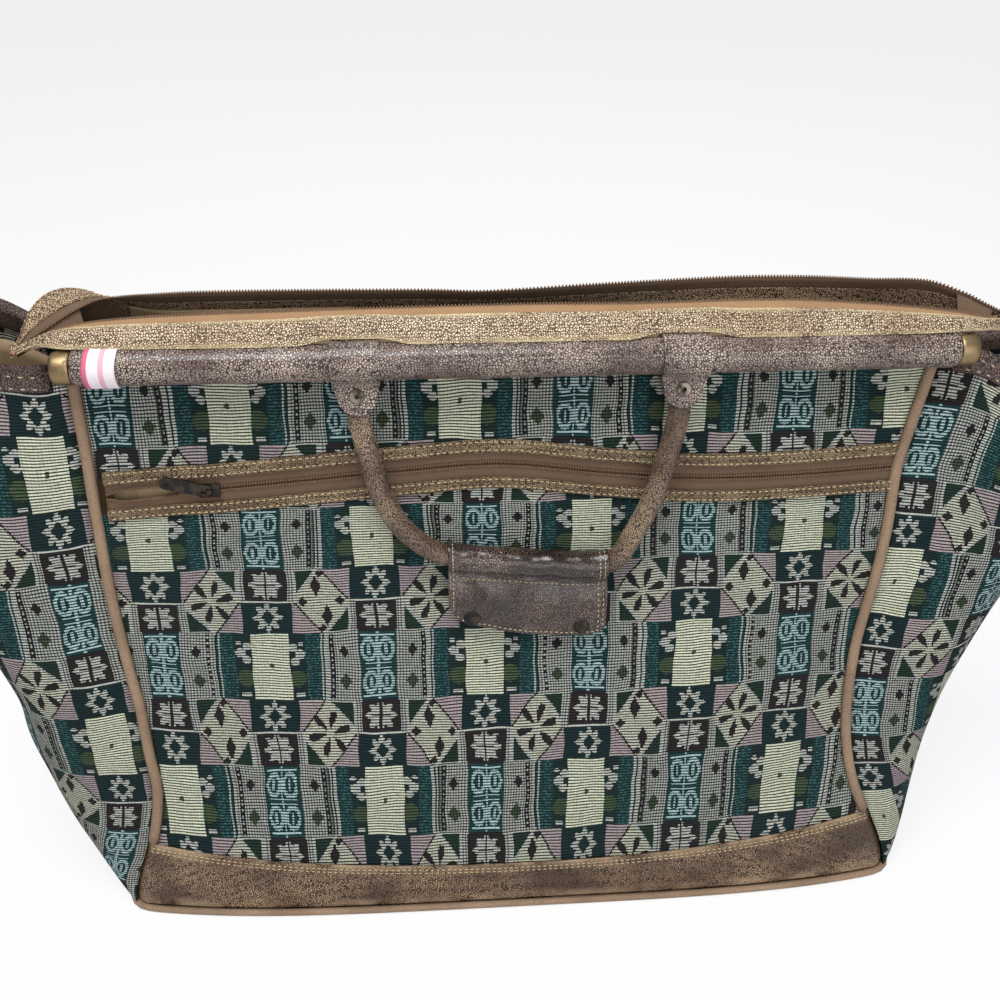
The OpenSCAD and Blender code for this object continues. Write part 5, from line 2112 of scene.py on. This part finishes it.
@dataclass
class Studio:
    """The pale floor, the soft light and the camera of the photograph."""

    camera_at: tuple[float, float, float] = (-0.05478, -0.63003, 0.70525)
    yaw: float = math.radians(-4.127)
    pitch: float = math.radians(33.676)
    roll: float = math.radians(0.624)
    focal_pixels: float = 1100.0
    frame_pixels: float = 1000.0
    sensor: float = 36.0

    def camera(self) -> None:
        """Set up the photograph's camera."""
        data = bpy.data.cameras.new("view")
        data.sensor_width = self.sensor
        data.lens = self.sensor * self.focal_pixels / self.frame_pixels
        data.clip_start = 0.01
        aim = Matrix.Rotation(self.yaw, 4, "Z") @ Matrix.Rotation(math.pi / 2 - self.pitch, 4, "X")
        turn = aim @ Matrix.Rotation(self.roll, 4, "Z")
        camera = bpy.data.objects.new("view", data)
        camera.matrix_world = Matrix.Translation(Vector(self.camera_at)) @ turn
        bpy.context.scene.collection.objects.link(camera)
        bpy.context.scene.camera = camera

    def floor(self) -> None:
        """Build the floor, which the camera sees as nearly white."""
        bm = bmesh.new()
        bmesh.ops.create_grid(bm, x_segments=1, y_segments=1, size=6.0)
        data = bpy.data.meshes.new("floor")
        bm.to_mesh(data)
        bm.free()
        floor = bpy.data.objects.new("floor", data)
        bpy.context.scene.collection.objects.link(floor)
        material = bpy.data.materials.new("pale_floor")
        material.use_nodes = True
        tree = material.node_tree
        surface = tree.nodes["Principled BSDF"]
        surface.inputs["Base Color"].default_value = (0.8, 0.8, 0.8, 1)
        surface.inputs["Roughness"].default_value = 0.9
        glow = tree.nodes.new("ShaderNodeEmission")
        glow.inputs["Strength"].default_value = 1.0
        path = tree.nodes.new("ShaderNodeLightPath")
        seen = Value(tree, path.outputs["Is Camera Ray"]).either(Value(tree, path.outputs["Is Glossy Ray"]))
        blend = tree.nodes.new("ShaderNodeMixShader")
        tree.links.new((seen * 0.8).socket, blend.inputs[0])
        tree.links.new(surface.outputs[0], blend.inputs[1])
        tree.links.new(glow.outputs[0], blend.inputs[2])
        tree.links.new(blend.outputs[0], tree.nodes["Material Output"].inputs[0])
        floor.data.materials.append(material)

    def lights(self) -> None:
        """Set up three soft lamps and the pale surroundings."""
        for name, at, size, power in (
            ("key", (-0.35, -0.55, 2.3), 1.1, 46.0),
            ("fill", (0.5, -2.3, 1.1), 1.8, 26.0),
            ("back", (0.2, 1.3, 1.9), 1.6, 14.0),
        ):
            data = bpy.data.lights.new(name, "AREA")
            data.size = size
            data.energy = power
            lamp = bpy.data.objects.new(name, data)
            lamp.location = at
            aim = Vector((0, 0, 0.25)) - Vector(at)
            lamp.rotation_euler = aim.to_track_quat("-Z", "Y").to_euler()
            bpy.context.scene.collection.objects.link(lamp)
        world = bpy.data.worlds.new("surroundings")
        world.use_nodes = True
        tree = world.node_tree
        back = tree.nodes["Background"]
        back.inputs["Color"].default_value = (1, 1, 1, 1)
        path = tree.nodes.new("ShaderNodeLightPath")
        seen = Value(tree, path.outputs["Is Camera Ray"])
        seen = seen.either(Value(tree, path.outputs["Is Transmission Ray"]))
        strength = seen * 0.65 + 0.35
        tree.links.new(strength.socket, back.inputs["Strength"])
        bpy.context.scene.world = world
        bpy.context.scene.view_settings.view_transform = "Standard"

    def build(self) -> None:
        """Set up the whole studio."""
        self.camera()
        self.floor()
        self.lights()


def main() -> None:
    """Build the studio and the bag in order."""
    logging.basicConfig(level=logging.INFO, format="%(message)s")
    Studio().build()
    finishes = make_finishes()
    seamstress = Seamstress(finishes)
    ClothBody(finishes, seamstress).build()
    LeatherTrims(finishes, seamstress).build()
    MouthZip(finishes, seamstress).build()
    RodPair(finishes, seamstress).build()
    HandlePair(finishes, seamstress).build()
    PocketZip(finishes, seamstress).build()


if __name__ == "__main__":
    main()
